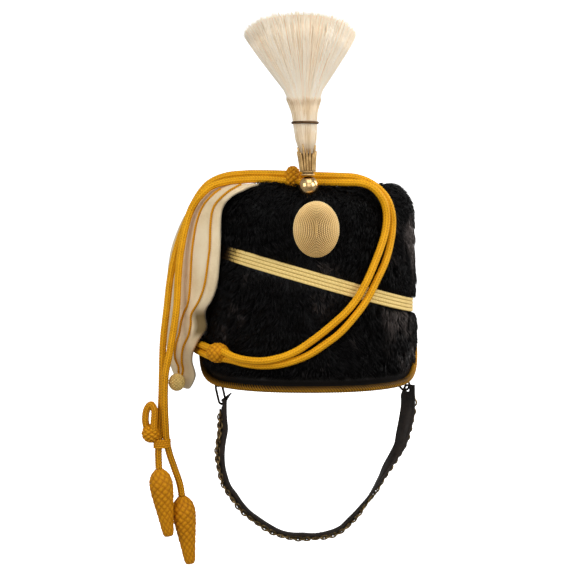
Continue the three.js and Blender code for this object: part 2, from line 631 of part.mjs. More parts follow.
// The bag. Each row runs from its front edge round the bulge to its rear edge, one quarter of an oval on
// either side of the bulge, with a lower sheet moved in or down by the row's thickness.
const BAG_ROWS = [
  { front: [6, -24, 152.8], bulge: [-10, -6, 153.6], rear: [6, 18, 152.8], thick: 1.4, down: 1 },
  { front: [-14, -58, 157], bulge: [-42, -14, 158], rear: [-18, 46, 157], thick: 3, down: 1 },
  { front: [-36, -83, 163], bulge: [-68, -18, 161.5], rear: [-44, 62, 161.5], thick: 4, down: 1 },
  { front: [-50, -88, 158.5], bulge: [-82, -20, 158], rear: [-62, 67, 158], thick: 5, down: 0.5 },
  { front: [-59, -88, 151], bulge: [-90, -20, 152], rear: [-74, 68, 151], thick: 7, down: 0 },
  { front: [-65, -86, 143], bulge: [-98, -17, 143], rear: [-80, 66, 143], thick: 12, down: 0 },
  { front: [-68.5, -84, 130], bulge: [-106, -14, 130], rear: [-85, 63, 130], thick: 16, down: 0 },
  { front: [-70, -82, 110], bulge: [-113, -10, 110], rear: [-89, 57, 110], thick: 20, down: 0 },
  { front: [-72.5, -80, 86], bulge: [-117, -8, 86], rear: [-92, 48, 86], thick: 22, down: 0 },
  { front: [-77, -77, 70], bulge: [-117, -10, 70], rear: [-94.5, 38, 70], thick: 20, down: 0 },
  { front: [-88, -70, 57], bulge: [-117, -14, 57], rear: [-97, 28, 57], thick: 17, down: 0 },
  { front: [-89, -67, 45], bulge: [-118, -16, 45], rear: [-100, 16, 45], thick: 14, down: 0 },
  { front: [-92.5, -62, 32], bulge: [-118, -20, 32], rear: [-103, 4, 32], thick: 11, down: 0 },
  { front: [-95, -56, 19], bulge: [-116.5, -26, 19], rear: [-104, -8, 19], thick: 9, down: 0 },
  { front: [-94, -52, 6], bulge: [-112, -32, 6], rear: [-103.5, -20, 6], thick: 7, down: 0 },
  { front: [-97, -49, -5], bulge: [-108, -38, -5], rear: [-103, -31, -5], thick: 4, down: 0 },
];
const PIPINGS = [{ angle: 18, firstRow: 3 }, { angle: 37, firstRow: 4 }];
const BAG_ANGLES = [0, PIPINGS[0].angle, PIPINGS[1].angle, 62, 90, 118, 143, 164, 180];
const BAG_EDGE = 2;

function bagPoint({ front, bulge, rear }, angle) {
  const edge = angle < 90 ? front : rear;
  const [s, c] = [Math.sin(angle * DEGREE), Math.abs(Math.cos(angle * DEGREE))];
  return at(
    edge[0] + (bulge[0] - edge[0]) * s,
    bulge[1] + (edge[1] - bulge[1]) * c,
    bulge[2] + (edge[2] - bulge[2]) * c,
  );
}
function bagRing(row) {
  const outer = BAG_ANGLES.map((angle) => bagPoint(row, angle));
  const inner = BAG_ANGLES.map((angle, i) => {
    const thick = BAG_EDGE + (row.thick - BAG_EDGE) * Math.sin(angle * DEGREE);
    const inward = at(-outer[i].x, -outer[i].y, 0).normalize();
    const shift = inward.multiplyScalar(1 - row.down).add(at(0, 0, -row.down)).normalize();
    return outer[i].clone().addScaledVector(shift, thick);
  });
  return [...outer, ...inner.reverse()];
}
const furForm = skin(capRings([
  [0.5, aboveRim(6)],
  [0.5, furTop(13)],
  [-2.2, furTop(5.4)],
  [-6.8, furTop(1.4)],
  [-13, furTop(-0.5)],
]), "fan");
const bagBody = cut(skin(BAG_ROWS.map(bagRing), "strip"), furForm, ...linesRoom);
add("bag", bagBody, CLOTH_LOOK);

// A band, piping or strap: a section of side and outward offsets, carried along points with their outward
// directions.
function sweep(stations, section) {
  return skin(stations.map(({ point, out }, i) => {
    const before = stations[Math.max(i - 1, 0)].point;
    const after = stations[Math.min(i + 1, stations.length - 1)].point;
    const ahead = after.clone().sub(before).normalize();
    const side = ahead.clone().cross(out).normalize();
    const away = side.clone().cross(ahead).normalize();
    return section.map(([s, o]) => point.clone().addScaledVector(side, s).addScaledVector(away, o));
  }), "fan");
}
const PIPING = 1.8;
const PIPING_GAP = 0.5;
PIPINGS.forEach(({ angle, firstRow }, i) => {
  const stations = BAG_ROWS.slice(firstRow, -2).map((row) => {
    const point = bagPoint(row, angle);
    const sideways = at(point.x, point.y, 0).normalize().multiplyScalar(1 - row.down);
    const out = sideways.add(at(0, 0, row.down)).normalize();
    return { point: point.addScaledVector(out, PIPING / 2 + PIPING_GAP), out };
  });
  add(`bag_piping_${i + 1}`, sweep(stations, roundSection(PIPING, 6)), GOLD_CORD_LOOK);
});
add("bag_knob", knot([-107.7, -53.5, 0.7], [14, 14, 14.5]), STRAW_CORD_LOOK);

// The chin strap hangs in an upright plane a little before the ears. It leans so that its outer face shows
// a little from the front, and its right end is turned so that the inner face shows. The route runs from
// the left end round the bottom to the right end.
const STRAP_ROUTE = [
  [-70.8, -40, -15.5], [-70.8, -40, -38], [-73, -40, -59], [-72, -40, -73], [-68, -40, -86], [-61, -40, -98],
  [-50.5, -40, -110], [-37, -40, -120], [-23, -40, -127.5], [-12, -40, -129.5], [-1, -40, -130],
  [14, -40, -128.5], [27, -40, -123.5], [37, -40, -113.5], [47, -40, -101], [58, -40, -84.5],
  [68, -40, -66.5], [75.5, -40, -53], [79.5, -40, -38], [82, -40, -21], [81.5, -40, -3],
];
const strapPoints = STRAP_ROUTE.map(([x, y, z]) => at(x, y, z));
const strapCurve = new THREE.CatmullRomCurve3(strapPoints, false, "centripetal");
function strapStation(lift, along) {
  const ahead = strapCurve.getTangentAt(along);
  const share = THREE.MathUtils.smoothstep(along, TWIST_START, TWIST_END);
  const tilt = THREE.MathUtils.lerp(STRAP_TILT, STRAP_END_TILT, share);
  const out = ahead.clone().cross(at(0, -1, 0)).normalize().applyAxisAngle(ahead, tilt);
  return { point: strapCurve.getPointAt(along).addScaledVector(out, lift), out };
}
function strapStations(lift, start, end) {
  return Array.from({ length: STRAP_STEPS + 1 }, (_, i) =>
    strapStation(lift, THREE.MathUtils.lerp(start, end, i / STRAP_STEPS)));
}
const halfStrap = STRAP_WIDTH / 2;
const halfThick = STRAP_THICKNESS / 2;
const strapSection = [
  [-halfStrap, -halfThick],
  [halfStrap, -halfThick],
  [halfStrap, halfThick],
  [-halfStrap, halfThick],
];
const strapBody = sweep(strapStations(0, 0, 1), strapSection);
const chainLift = halfThick + 3 * GAP + CHAIN_HEIGHT / 2;
const chainSection = roundSection(1).map(([s, o]) => [s * CHAIN_WIDTH, o * CHAIN_HEIGHT]);
add("chin_chain", sweep(strapStations(chainLift, CHAIN_START, CHAIN_END), chainSection), BRASS_LOOK);

// A closed loop of wire whose long way runs from one point to another, in a plane turned about that way.
function wireLoop(from, to, width, spin) {
  const long = to.clone().sub(from);
  const straight = Math.max(long.length() / 2 - width / 2, 0);
  const ahead = long.clone().normalize();
  const side = ahead.clone().cross(at(0, -1, 0)).normalize().applyAxisAngle(ahead, spin);
  const normal = ahead.clone().cross(side);
  const middle = from.clone().add(to).divideScalar(2);
  const rings = circle(WIRE_POINTS, (turn) => {
    const out = ahead.clone().multiplyScalar(Math.cos(turn)).addScaledVector(side, Math.sin(turn));
    const point = middle.clone().addScaledVector(ahead, Math.sign(Math.cos(turn)) * straight)
      .addScaledVector(out, width / 2);
    return roundSection(WIRE, 6).map(([o, n]) =>
      point.clone().addScaledVector(out, o).addScaledVector(normal, n));
  });
  return skin(rings, "joined");
}
function hole(centre, direction, diameter) {
  const drill = new THREE.CylinderGeometry(diameter / 2, diameter / 2, 8, 10);
  const facing = new THREE.Quaternion().setFromUnitVectors(at(0, 1, 0), direction.clone().normalize());
  drill.applyQuaternion(facing);
  return drill.translate(centre.x, centre.y, centre.z);
}

// Leather tabs between the shell and the sweatband carry the strap's wire loops.
const tabMiddle = (tabOut + tabIn) / 2;
for (const [side, sign] of [["left", -1], ["right", 1]]) {
  const turns = [-1, 0, 1].map((step) => sign * TAB_TURN + step * TAB_HALF_TURN);
  const tab = wallBlock(turns, [[tabOut, tabIn, TAB_FOOT], [tabOut, tabIn, TAB_TOP]]);
  const holeCentre = outline(sign * TAB_TURN, TAB_HOLE_HEIGHT, tabMiddle);
  const holeWay = at(sign, -0.2, 0);
  add(`strap_tab_${side}`, cut(tab, hole(holeCentre, holeWay, TAB_HOLE)), STRAP_LOOK);
}
const strapLength = strapCurve.getLength();
const leftHole = strapStation(0, STRAP_HOLE_SETBACK / strapLength);
const rightHole = strapStation(0, 1 - STRAP_HOLE_SETBACK / strapLength);
add("chin_strap", cut(
  strapBody,
  hole(leftHole.point, leftHole.out, STRAP_HOLE),
  hole(rightHole.point, rightHole.out, STRAP_HOLE),
), STRAP_LOOK);
const leftTabHole = outline(-TAB_TURN, TAB_HOLE_HEIGHT, tabMiddle);
const rightTabHole = outline(TAB_TURN, TAB_HOLE_HEIGHT, tabMiddle);
const ringFoot = leftTabHole.clone().add(at(0, 0, -RING_DROP));
const ringLeft = wireLoop(leftTabHole, ringFoot, RING_WIDTH, RING_SPIN);
add("strap_ring_left", ringLeft, DARK_WIRE_LOOK);
const linkTop = ringFoot.clone().add(at(0, 0, LEFT_LINK_RISE));
const linkLeft = wireLoop(linkTop, leftHole.point, LEFT_LINK_WIDTH, LEFT_LINK_SPIN);
add("strap_link_left", linkLeft, DARK_WIRE_LOOK);
const linkRight = wireLoop(rightTabHole, rightHole.point, RIGHT_LINK_WIDTH, RIGHT_LINK_SPIN);
add("strap_link_right", linkRight, DARK_WIRE_LOOK);

export default part;
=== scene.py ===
import math

import bpy
import numpy as np
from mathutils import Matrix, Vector


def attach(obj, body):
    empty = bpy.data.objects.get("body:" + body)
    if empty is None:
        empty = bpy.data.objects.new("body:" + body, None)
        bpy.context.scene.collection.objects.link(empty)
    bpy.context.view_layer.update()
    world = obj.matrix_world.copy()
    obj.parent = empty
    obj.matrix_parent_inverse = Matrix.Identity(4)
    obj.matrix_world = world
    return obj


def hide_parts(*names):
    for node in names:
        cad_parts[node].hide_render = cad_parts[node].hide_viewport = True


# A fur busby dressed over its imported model. The script works in millimetres and in turns about the cap,
# where a turn of 0 is the front and a quarter turn is +X, and its pieces are made in metres.
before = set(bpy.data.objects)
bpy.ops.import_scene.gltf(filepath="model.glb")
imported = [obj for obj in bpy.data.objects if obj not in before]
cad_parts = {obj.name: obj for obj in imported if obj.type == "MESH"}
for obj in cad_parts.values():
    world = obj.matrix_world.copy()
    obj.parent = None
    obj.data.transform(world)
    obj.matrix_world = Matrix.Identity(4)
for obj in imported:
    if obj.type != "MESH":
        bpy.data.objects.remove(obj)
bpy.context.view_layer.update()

MM = 0.001
DEGREE = math.pi / 180
FULL_TURN = 2 * math.pi
chance = np.random.default_rng(1812)

# The cap's plan is a slightly square oval, smaller at the crown, and its rim arches over the ears.
RIM_HALF_WIDTH = 93
RIM_HALF_DEPTH = 112
WIDTH_TAPER = 5.5
DEPTH_TAPER = 6
SQUARENESS = 2.35
CAP_HEIGHT = 159
RIM_RISE = 26
RIM_RISE_SHARPNESS = 12

# The shell and the sweatband: depths inward from the fur's outline, and heights.
SHELL_DEPTH = 11
SHELL_WALL = 2.5
SHELL_TOP = 147.5
SHELL_LAP = 0.3
TAB_ROOM = 2
LINING_POINTS = 240
ROUTE_POINTS = 4000
SWEATBAND_THICKNESS = 1.2
SWEATBAND_HEIGHT = 38
SWEATBAND_DROP = 4
SWEATBAND_SCALLOPS = 36
SWEATBAND_SCALLOP_DEPTH = 1.6

# The rim's cord and the leather above it. The hem's profile gives proudness and rise above the rim.
RIM_CORD = 5
RIM_CORD_SWELL = 0.3
RIM_CORD_SIDES = 20
RIM_CORD_STRANDS = 5
RIM_CORD_LAY = 11.4
RIM_CORD_STEP = 0.75
RIM_CORD_RELIEF = 0.75
# Painted light on the rim cord: a painted shadow on its upper side under the hem, and a painted pool of
# light where it comes round on the right.
RIM_CORD_SHADOW = 0.38
RIM_LIT_FROM = 76
RIM_LIT_OVER = 12
RIM_PAINTED_LIGHT = 0.2
HEM_HEIGHT = 14
HEM_BULGE = 3.4
HEM_INNER = -SHELL_DEPTH + SHELL_LAP
HEM_PROFILE = [
    (HEM_INNER, 1),
    (-RIM_CORD - 1.1, 1),
    (-RIM_CORD + 0.9, RIM_CORD * 0.5),
    (-RIM_CORD + 1, RIM_CORD + 0.1),
    (-HEM_BULGE - 0.7, RIM_CORD + 1.4),
    (-HEM_BULGE, RIM_CORD + 3),
    (-HEM_BULGE, 9),
    (-HEM_BULGE - 0.4, 11),
    (-HEM_BULGE - 1.6, 12.8),
    (-8, HEM_HEIGHT),
    (HEM_INNER, HEM_HEIGHT),
]

# The pelt under the hair.
PELT_DEPTH = 4.2
PELT_FOOT = 13
PELT_INNER = -22.8
PELT_SHELF = 151
PELT_POINTS = 180
PELT_WALL_LENGTH = 128
PELT_WHOLE_LENGTH = 155
PELT_RADIUS = 100
BAND_GROOVE = 2.2
BAND_GROOVE_REACH = 8
SHOULDER_LEVEL = 141
SHOULDER_RISE = 18.8
SHOULDER_REACH = 18
SHOULDER_SHARE = 0.21
BAG_PRESS = 4
BAG_SIDE_RISE = 4
BAG_SIDE_TURN = -24 * DEGREE
BAG_SIDE_REACH = 14 * DEGREE
BAG_SIDE_MARGIN = 0.05
BAG_SIDE_SHIFT = 5 * DEGREE
BAG_SIDE_SHIFT_FROM = 150
BAG_SIDE_SHIFT_OVER = 8

# The hair, which lies in locks. A patch of painted sheen has its turn and height, the reach of each, and its
# strength.
ROOT_SPACING = 1.58
HAIR_LENGTH = 9.5
HAIR_WIDTH = 0.68
HAIR_STEPS = np.array([0, 0.5, 1.0])
HAIR_TAPER = [0.8, 1, 0]
# Each hair's shade at its root, middle and tip: painted shade darkens it towards the root, where the hairs
# cover one another.
HAIR_SHADES = np.array([0.2, 0.8, 1.2])
SHORTEST_HAIR = 0.22
LOCK_WIDTH = 7
LOCK_HEIGHT = 9
LOCK_RADIUS = 102
LOCK_PULL = 0.35
FUR_EDGE = 8.2
FUR_EDGE_SPREAD = 2.2
BAND_OVERHANG = 1.2
SHEEN_PATCHES = [
    (68, 118, 20, 34, 1.9),
    (43, 54, 12, 12, 0.9),
    (2, 66, 9, 12, 0.9),
    (36, 122, 9, 20, 0.5),
    (150, 90, 25, 30, 0.3),
    (232, 60, 20, 30, 0.3),
]
FUR_QUARTERS = {"front": (-45, 45), "right": (45, 135), "back": (135, 225), "left": (225, 315)}
TUFT_HAIRS = 420
TUFT_FOOT = 142

# The braid band lies in a slanting plane and fades where the bag shades its left end.
BAND_LEVEL = 85.9
BAND_SLOPE_X = -0.2885
BAND_SLOPE_Y = -0.0317
BAND_WIDTH = 11.5
BAND_THICKNESS = 2.2
BAND_DEPTH = 3.7
BAND_STEP = 0.85
BAND_POINTS = 37
BAND_RIBS = 4
BAND_STITCH = 2.9
BAND_STITCH_SLANT = 1.7
BAND_RELIEF = 0.8
BAND_EDGE = -0.35
BRAID_HIDDEN = -64
BRAID_FADE = 13
BAND_SHADE_START = 3
BAND_SHADE_REACH = 14

# The boss: rings of fine cord round an upright spine.
BOSS_CENTRE = np.array([4.6, -104.3, 127.0])
BOSS_HALF_WIDTH = 18.5
BOSS_HALF_HEIGHT = 22.3
BOSS_THICKNESS = 12
BOSS_POINTS = 336
BOSS_RINGS = 13
BOSS_STITCH = 1.45
BOSS_SPINE = 7
BOSS_FLARE = 0.94
BOSS_RELIEF = 0.95
BOSS_BACK = [(0.985, 1.2), (0.95, 2.6), (0.6, 3.2)]
BOSS_BACK_SHADE = 0.3
BOSS_BEHIND = -60

# The ball and the calyx. Profiles give radius and height.
PLUME_FOOT = np.array([-1.2, -101.0, 160.3])
PLUME_LEAN = 0.058
PLUME_BALL = 15.3
PLUME_STEM = 4
PLUME_STEM_LENGTH = 30
TURNED_SIDES = 48
BALL_STEPS = 23
BALL_TOP = 80 * DEGREE
CALYX_PROFILE = [
    (4.1, 0), (4.6, 0.5), (4.2, 1.2), (4.2, 2), (4.6, 2.8), (4.3, 3.6), (4.6, 8), (5.0, 12), (5.4, 15),
    (5.6, 17), (5.3, 17.2), (4.8, 13), (4.1, 9),
]
COLLARS = [(0.8, 4.7, 1.3), (3, 4.8, 1.2)]
LEAF_COUNT = 8
LEAF_ROWS = [(19, 0.5, 0), (22.5, 0.1, 0.5)]
LEAF_FOOT = 3.2
LEAF_HALF_TURN = 0.16
LEAF_THICKNESS = 0.4
LEAF_HEIGHTS = [3, 6, 10, 14, 17, 24]
LEAF_RADII = [4.3, 4.6, 5.0, 5.4, 5.8, 6.8]

# The plume's fan is an oval that flattens as it opens.
PLUME_HEIGHTS = [176.8, 181, 186, 192.6, 196, 201, 209, 215, 222, 229, 240, 253.5, 266, 278, 290, 300]
PLUME_RADII = [3.2, 4.2, 5.1, 6.2, 7.6, 8.5, 8.3, 8.6, 9.4, 10.9, 18.6, 27.6, 35.8, 43.4, 50, 54]
PLUME_FLATNESS = [0.85, 0.72]
PLUME_SPREAD = [240, 294]
PLUME_CROWN = 290.5
PLUME_DOME = 13
PLUME_DOME_POWER = 2.7
PLUME_CORE = 0.95
PLUME_CORE_FOOT = 177
PLUME_CORE_COLUMNS = 300
PLUME_CORE_ROWS = 34
PLUME_CORE_SHARES = [0.98, 0.94, 0.88, 0.8, 0.68, 0.52, 0.34, 0.12]
PLUME_CORE_TOP_SHADE = 0.3
PLUME_DULL = 0.2
PLUME_DULL_SHARE = 0.06
EDGE_SHARE = 0.94
EDGE_SPREAD = 0.1
LONG_HAIRS = 2300
LONG_FOOT = 187
TIP_HAIRS = 2600
TIP_LENGTH = 10
BOUND_HAIRS = 1500
BOUND_FOOT = 186.0
BOUND_TOP = 221
BOUND_FLARE = 0.28
# The bound hairs low on the plume take painted shade.
BOUND_PAINTED_SHADE = 0.5
BEND_FROM = 215
BEND_OVER = 70
FLARE_FROM = 207
FLARE_OVER = 20
PLUME_RING_HEIGHT = 209
PLUME_RING_RADIUS = 9.7
PLUME_RING_WIRE = 2.1

# The cap lines and their knots.
LINE = 5.6
LINE_SIDES = 24
LINE_STEP = 0.55
LINE_BRAID = {"columns": 8, "pitch": 2.3, "slant": 0.85}
LINE_PROUD = 0.35
LINE_RELIEF = 0.7
# Where the lines hang low on the left they take painted shade.
LINE_SHADED_BELOW = 60
LINE_SHADED_OVER = 110
LINE_SHADED_LEFT_OF = -98
LINE_A = [
    [-95, 18, 25.5], [-95.5, 0, 25.5], [-95, -20, 25.5], [-92, -41, 25.5], [-85, -63, 25.5],
    [-79, -78, 25], [-71.5, -88.5, 25], [-61, -96, 24], [-51.5, -102.3, 22.3], [-38, -108.6, 21.3],
    [-21, -113.3, 23.3], [-2.5, -114.5, 29.8], [11.3, -113.6, 38.5], [22.6, -112.2, 47],
    [34.9, -109, 60.3], [44.3, -104.8, 72.8], [52.2, -99.5, 87.6], [59, -93.8, 101.4], [63.6, -89, 118],
    [65, -86.6, 131], [64, -87.4, 141], [60.6, -88.3, 150], [54.5, -87.8, 157.6], [46, -88, 163.5],
    [36, -86, 167], [20, -84, 168], [6, -83, 168.5], [-7, -83, 169], [-16.5, -82, 169.5],
    [-31.5, -77, 170], [-50.5, -69, 170], [-68, -63, 168], [-81, -60, 162], [-90, -60, 151],
    [-98, -61, 134], [-105.5, -61, 114], [-111.5, -61, 89], [-115, -61, 61], [-118, -61, 35],
    [-119, -61, 9], [-119.5, -61, -9], [-120.5, -61, -27], [-121.5, -61.5, -42], [-122.3, -62.5, -54],
    [-122, -63, -68.5],
]
LINE_B = [
    [-95, 18, 31.7], [-95.5, 0, 31.7], [-95, -20, 31.7], [-92, -41, 31.7], [-85, -63, 31.7],
    [-79, -78, 31.3], [-71.5, -88.5, 31.2], [-66, -97, 29.9], [-58.5, -103.8, 27.2], [-48, -110.5, 25.7],
    [-36, -114.9, 25.8], [-21.5, -117, 29], [-9.5, -116.6, 34.2], [-0.3, -115.4, 40.3],
    [8.9, -114.2, 47.1], [18.5, -112.6, 55], [27.9, -110.6, 63.4], [35.5, -108.4, 72.4],
    [41.1, -106, 81.5], [45.9, -103.5, 90.8], [50, -100.6, 100], [53.8, -97.6, 109.2],
    [57.2, -94.8, 118.5], [59.4, -92.8, 128], [60, -92, 137], [58.4, -92.8, 146], [54.6, -94.3, 153],
    [48.5, -95, 159.3], [40, -94, 162.5], [27, -92, 163], [12.5, -89.5, 163], [-1.5, -88, 163.3],
    [-16.5, -86, 164.2], [-33, -81.5, 165.5], [-50.5, -76, 165.3], [-66.5, -72, 163.5], [-78, -71, 160],
    [-86, -71.5, 153.5], [-93.5, -70, 143.5], [-98.5, -70, 129], [-103, -70, 107], [-105, -70, 87],
    [-106.5, -70, 62], [-111.5, -70, 30], [-115.5, -69.5, 10], [-116.5, -68.5, -4], [-116.5, -67.5, -20],
    [-116, -66, -34], [-115.5, -63, -46], [-113.5, -60, -57], [-109.5, -57.5, -70], [-105.5, -56, -83],
    [-104, -55.5, -92.5],
]
LINE_A_LENGTH = 731
LINE_B_LENGTH = 738
BALL_KNOT = {
    "centre": [-72.6, -89.0, 29.0], "size": [18.5, 16, 16.3],
    "axis": "x", "cells": 8, "pitch": 4.4, "depth": 0.9,
}
TOP_KNOT = {
    "centre": [-13.5, -84.3, 166.8], "size": [14, 15, 19],
    "axis": "z", "cells": 7, "pitch": 4.2, "depth": 1.3,
}
SLIDE_KNOT = {
    "centre": [-128.3, -63, -39.8], "size": [15.5, 15.5, 15.5],
    "axis": "z", "cells": 7, "pitch": 4.2, "depth": 1.4,
}
SLIDE_LOOP = [
    [-131, -63, -38], [-132.5, -64.5, -28], [-131, -65, -19.5], [-127.8, -65.5, -15.8], [-125, -66.5, -20],
    [-125.2, -67, -29], [-126, -66.5, -38],
]
BAG_KNOB = {
    "centre": [-107.7, -53.5, 0.7], "size": [14, 14, 14.5],
    "axis": "z", "cells": 12, "pitch": 2.6, "depth": 0.7,
}
KNOT_ROWS = 64
KNOT_COLUMNS = 96
KNOT_END = 80 * DEGREE
# Knots take painted shade in the hollows of their plait and a painted highlight where it stands proud.
KNOT_SHADE = 0.48
KNOT_SHADE_RISE = 0.4
WRAP_CENTRE = (-119.3, -62.4)
WRAP_HALF_WIDTH = 6.4
WRAP_HALF_DEPTH = 4.6
WRAP_FOOT = -52
WRAP_TOP = -45
WRAP_CORD = 1.9

# The tassels: each hangs from its top to its foot, and all share one profile of radii.
TASSEL_A = {"top": [-122, -63, -69], "foot": [-114.3, -63.5, -124]}
TASSEL_B = {"top": [-103.9, -55.5, -93], "foot": [-97.5, -54.5, -149]}
TASSEL_SHARES = [0, 0.03, 0.08, 0.15, 0.24, 0.38, 0.54, 0.7, 0.86, 0.95, 1]
TASSEL_RADII = [3.0, 4.9, 7.4, 9.1, 9.7, 9.1, 7.8, 6.4, 5.2, 4.6, 3.4]
TASSEL_ROWS = 124
TASSEL_COLUMNS = 88
TASSEL_CELLS = 9
TASSEL_PITCH = 6.0
TASSEL_PROUD = 0.2
TASSEL_RELIEF = 0.85
# Tassels take painted shade in the hollows of their plait, like the knots.
TASSEL_SHADE = 0.46
TASSEL_SHADE_RISE = 0.32

# The bag: rows from the crown to the tip, each from its front edge round the bulge to its rear edge.
# A row that lies on the crown faces up, and down says how much of it does.
BAG_ROWS = [
    {"front": [2, -36, 153.4], "bulge": [6, -6, 153.4], "rear": [2, 26, 152.6], "thick": 1.6, "down": 1},
    {"front": [-20, -57, 158.6], "bulge": [-34, -14, 158.4], "rear": [-20, 46, 157], "thick": 3, "down": 1},
    {"front": [-41, -81, 162.2], "bulge": [-68, -18, 162.2], "rear": [-44, 62, 161], "thick": 4, "down": 1},
    {"front": [-53, -87, 157.5], "bulge": [-83, -20, 158], "rear": [-62, 67, 158], "thick": 5, "down": 0.5},
    {"front": [-63, -86, 151], "bulge": [-91, -20, 152], "rear": [-74, 68, 151], "thick": 7},
    {"front": [-69.5, -83, 143], "bulge": [-98, -17, 143], "rear": [-80, 66, 143], "thick": 12},
    {"front": [-71.5, -82, 130], "bulge": [-106, -14, 130], "rear": [-85, 63, 130], "thick": 16},
    {"front": [-72, -81, 110], "bulge": [-113, -10, 110], "rear": [-89, 57, 110], "thick": 20},
    {"front": [-74, -79, 86], "bulge": [-117, -8, 86], "rear": [-92, 48, 86], "thick": 22},
    {"front": [-79, -76, 70], "bulge": [-117, -10, 70], "rear": [-94.5, 38, 70], "thick": 20},
    {"front": [-86.5, -70, 57], "bulge": [-117, -14, 57], "rear": [-97, 28, 57], "thick": 17},
    {"front": [-86.5, -68, 45], "bulge": [-118, -16, 45], "rear": [-100, 16, 45], "thick": 14},
    {"front": [-92.5, -62, 32], "bulge": [-118, -20, 32], "rear": [-103, 4, 32], "thick": 11},
    {"front": [-95, -56, 19], "bulge": [-116.5, -26, 19], "rear": [-104, -8, 19], "thick": 9},
    {"front": [-94, -52, 6], "bulge": [-112, -32, 6], "rear": [-103.5, -20, 6], "thick": 7},
    {"front": [-97, -49, -6.5], "bulge": [-108, -38, -6.5], "rear": [-103, -31, -6.5], "thick": 4},
]
BAG_SIDE_ROW = 3
BAG_PLACES = 170
BAG_EDGE = 2.0
TUCK_ROW = 10.6
TUCK_ANGLE = 14
TUCK_DEPTH = 3.6
TUCK_REACH = 0.85
# Painted shadow in the tucked fold, and painted shade that grows towards the bag's foot.
TUCK_SHADOW = 1.05
FOOT_SHADE = 0.14
FOOT_ROW = 13.9
FOOT_ROWS = 1.13
BROAD_FOLDS = 5.2
BROAD_FOLD_DEPTH = 1.3
NARROW_FOLDS = 11
NARROW_FOLD_DEPTH = 0.6
RIPPLE_DEPTH = 0.4
LOBES_ROW = 12.8
LOBES_REACH = 1.6
LOBES_DEPTH = 1.2
FUR_CORNER_HEIGHTS = [-13, -5.4, -1.4, 0.5]
FUR_CORNER_DEPTHS = [0.5, -2.2, -6.8, -13]
FUR_CORNER_PUSH = 6
PIPING = 1.9
PIPING_SIDES = 10
PIPING_STEP = 0.6
PIPING_SEAT = 0.32
PIPING_LAY = 3.6
PIPING_RELIEF = 0.22
PIPING_END = 1.6
PIPING_ROWS = [3, 7, 9.5, 11, 13, 14.5]
PIPINGS = [
    {"angles": [15, 9, 11.7, 16.6, 19, 33], "first_row": 2.4},
    {"angles": [35, 31, 26.5, 34, 33, 41], "first_row": 3},
]

# The chin strap, its stitches and its chain. The section goes round the strap, across and then out.
STRAP_WIDTH = 15
STRAP_LENGTH = 322
STRAP_TILT = -28 * DEGREE
STRAP_END_TILT = 50 * DEGREE
TWIST_START = 0.56
TWIST_END = 0.96
STRAP_ROUTE = [
    [-70.8, -40, -15.5], [-70.8, -40, -38], [-73, -40, -59], [-72, -40, -73], [-68, -40, -86],
    [-61, -40, -98], [-50.5, -40, -110], [-37, -40, -120], [-23, -40, -127.5], [-12, -40, -129.5],
    [-1, -40, -130], [14, -40, -128.5], [27, -40, -123.5], [37, -40, -113.5], [47, -40, -101],
    [58, -40, -84.5], [68, -40, -66.5], [75.5, -40, -53], [79.5, -40, -38], [82, -40, -21],
    [81.5, -40, -3],
]
STRAP_SECTION = [
    [7.5, -0.35], [7.5, 0.35], [7.2, 0.82], [6.6, 1], [5.9, 0.98], [5.65, 0.72], [5.4, 0.98], [3, 1.02],
    [0, 1.04], [-3, 1.02], [-5.4, 0.98], [-5.65, 0.72], [-5.9, 0.98], [-6.6, 1], [-7.2, 0.82],
    [-7.5, 0.35], [-7.5, -0.35], [-7.2, -0.82], [-6.6, -1], [-5.9, -0.98], [-5.65, -0.72], [-5.4, -0.98],
    [0, -1], [5.4, -0.98], [5.65, -0.72], [5.9, -0.98], [6.6, -1], [7.2, -0.82],
]
STRAP_ROWS = 300
STRAP_STEP = 0.25
STRAP_HOLE = 4.8
STRAP_HOLE_SETBACK = 3.8
STRAP_CORNER = 9
STRAP_CORNER_CUT = 0.7
STRAP_FLAP = 15
STRAP_FLAP_LIFT = np.array([11.0, -1.0, 5.0])
STITCH_LINE = 5.65
STITCH_PITCH = 3.2
STITCH_FACE = 0.84
STITCH_MARGIN = 14
STITCH_SHARE = 0.36
STITCH_RISES = [0.55, 1, 1, 0.55]
STITCH_RADII = [0.1, 0.26, 0.26, 0.1]
CHAIN_PITCH = 3.5
CHAIN_START = 0.03
CHAIN_END = 0.97
CHAIN_LIFT = 2.0
CHAIN_SHARES = [0, 0.55, 0.75, 1]
CHAIN_OFFSETS = [1.5, 1.5, -1, -5]
CHAIN_TILT = 24 * DEGREE
CHAIN_LINK = {"half_length": 3.0, "half_width": 2.4, "wire": 1.4}

# The wire loops that carry the strap, and the leather tabs that they hang from.
TAB_TURN = 63 * DEGREE
TAB_MIDDLE = -14.5
TAB_HOLE_HEIGHT = 2.8
WIRE = 1.9
LEFT_RING = 7.4
LEFT_LINK = 6.2
LEFT_LINK_LAP = 1.7
RIGHT_LINK = 8

# The studio, in metres but for the floor's level. A soft box has its name, place, size and power.
CAMERA = Vector((-19.5, -1197.1, 160.1)) * MM
CAMERA_TARGET = Vector((-19.5, 0, 76.4)) * MM
LENS = 89.2
SENSOR = 36
FLOOR_LEVEL = -150.5
FLOOR_SIZE = 8
FLOOR_MIDDLE = -0.5
FLOOR_CURVE = 0.26
FLOOR_CURVE_STEPS = 12
BACKDROP_HEIGHT = 5
WALL_RADIUS = 3.8
WALL_HEIGHT = 3
SKY_STRENGTH = 0.32
PAPER_WHITE = (0.94, 0.94, 0.94, 1)
SOFT_BOXES = [
    ("left_box", (-1.4, -1.2, 0.55), 0.9, 10),
    ("right_box", (1.4, -1.1, 0.75), 0.9, 13),
    ("top_box", (0.1, -0.8, 1.5), 1.2, 9),
    ("front_box", (0.0, -1.9, 0.5), 1.2, 5),
    ("side_box", (1.4, 0.5, 0.7), 0.8, 10),
]


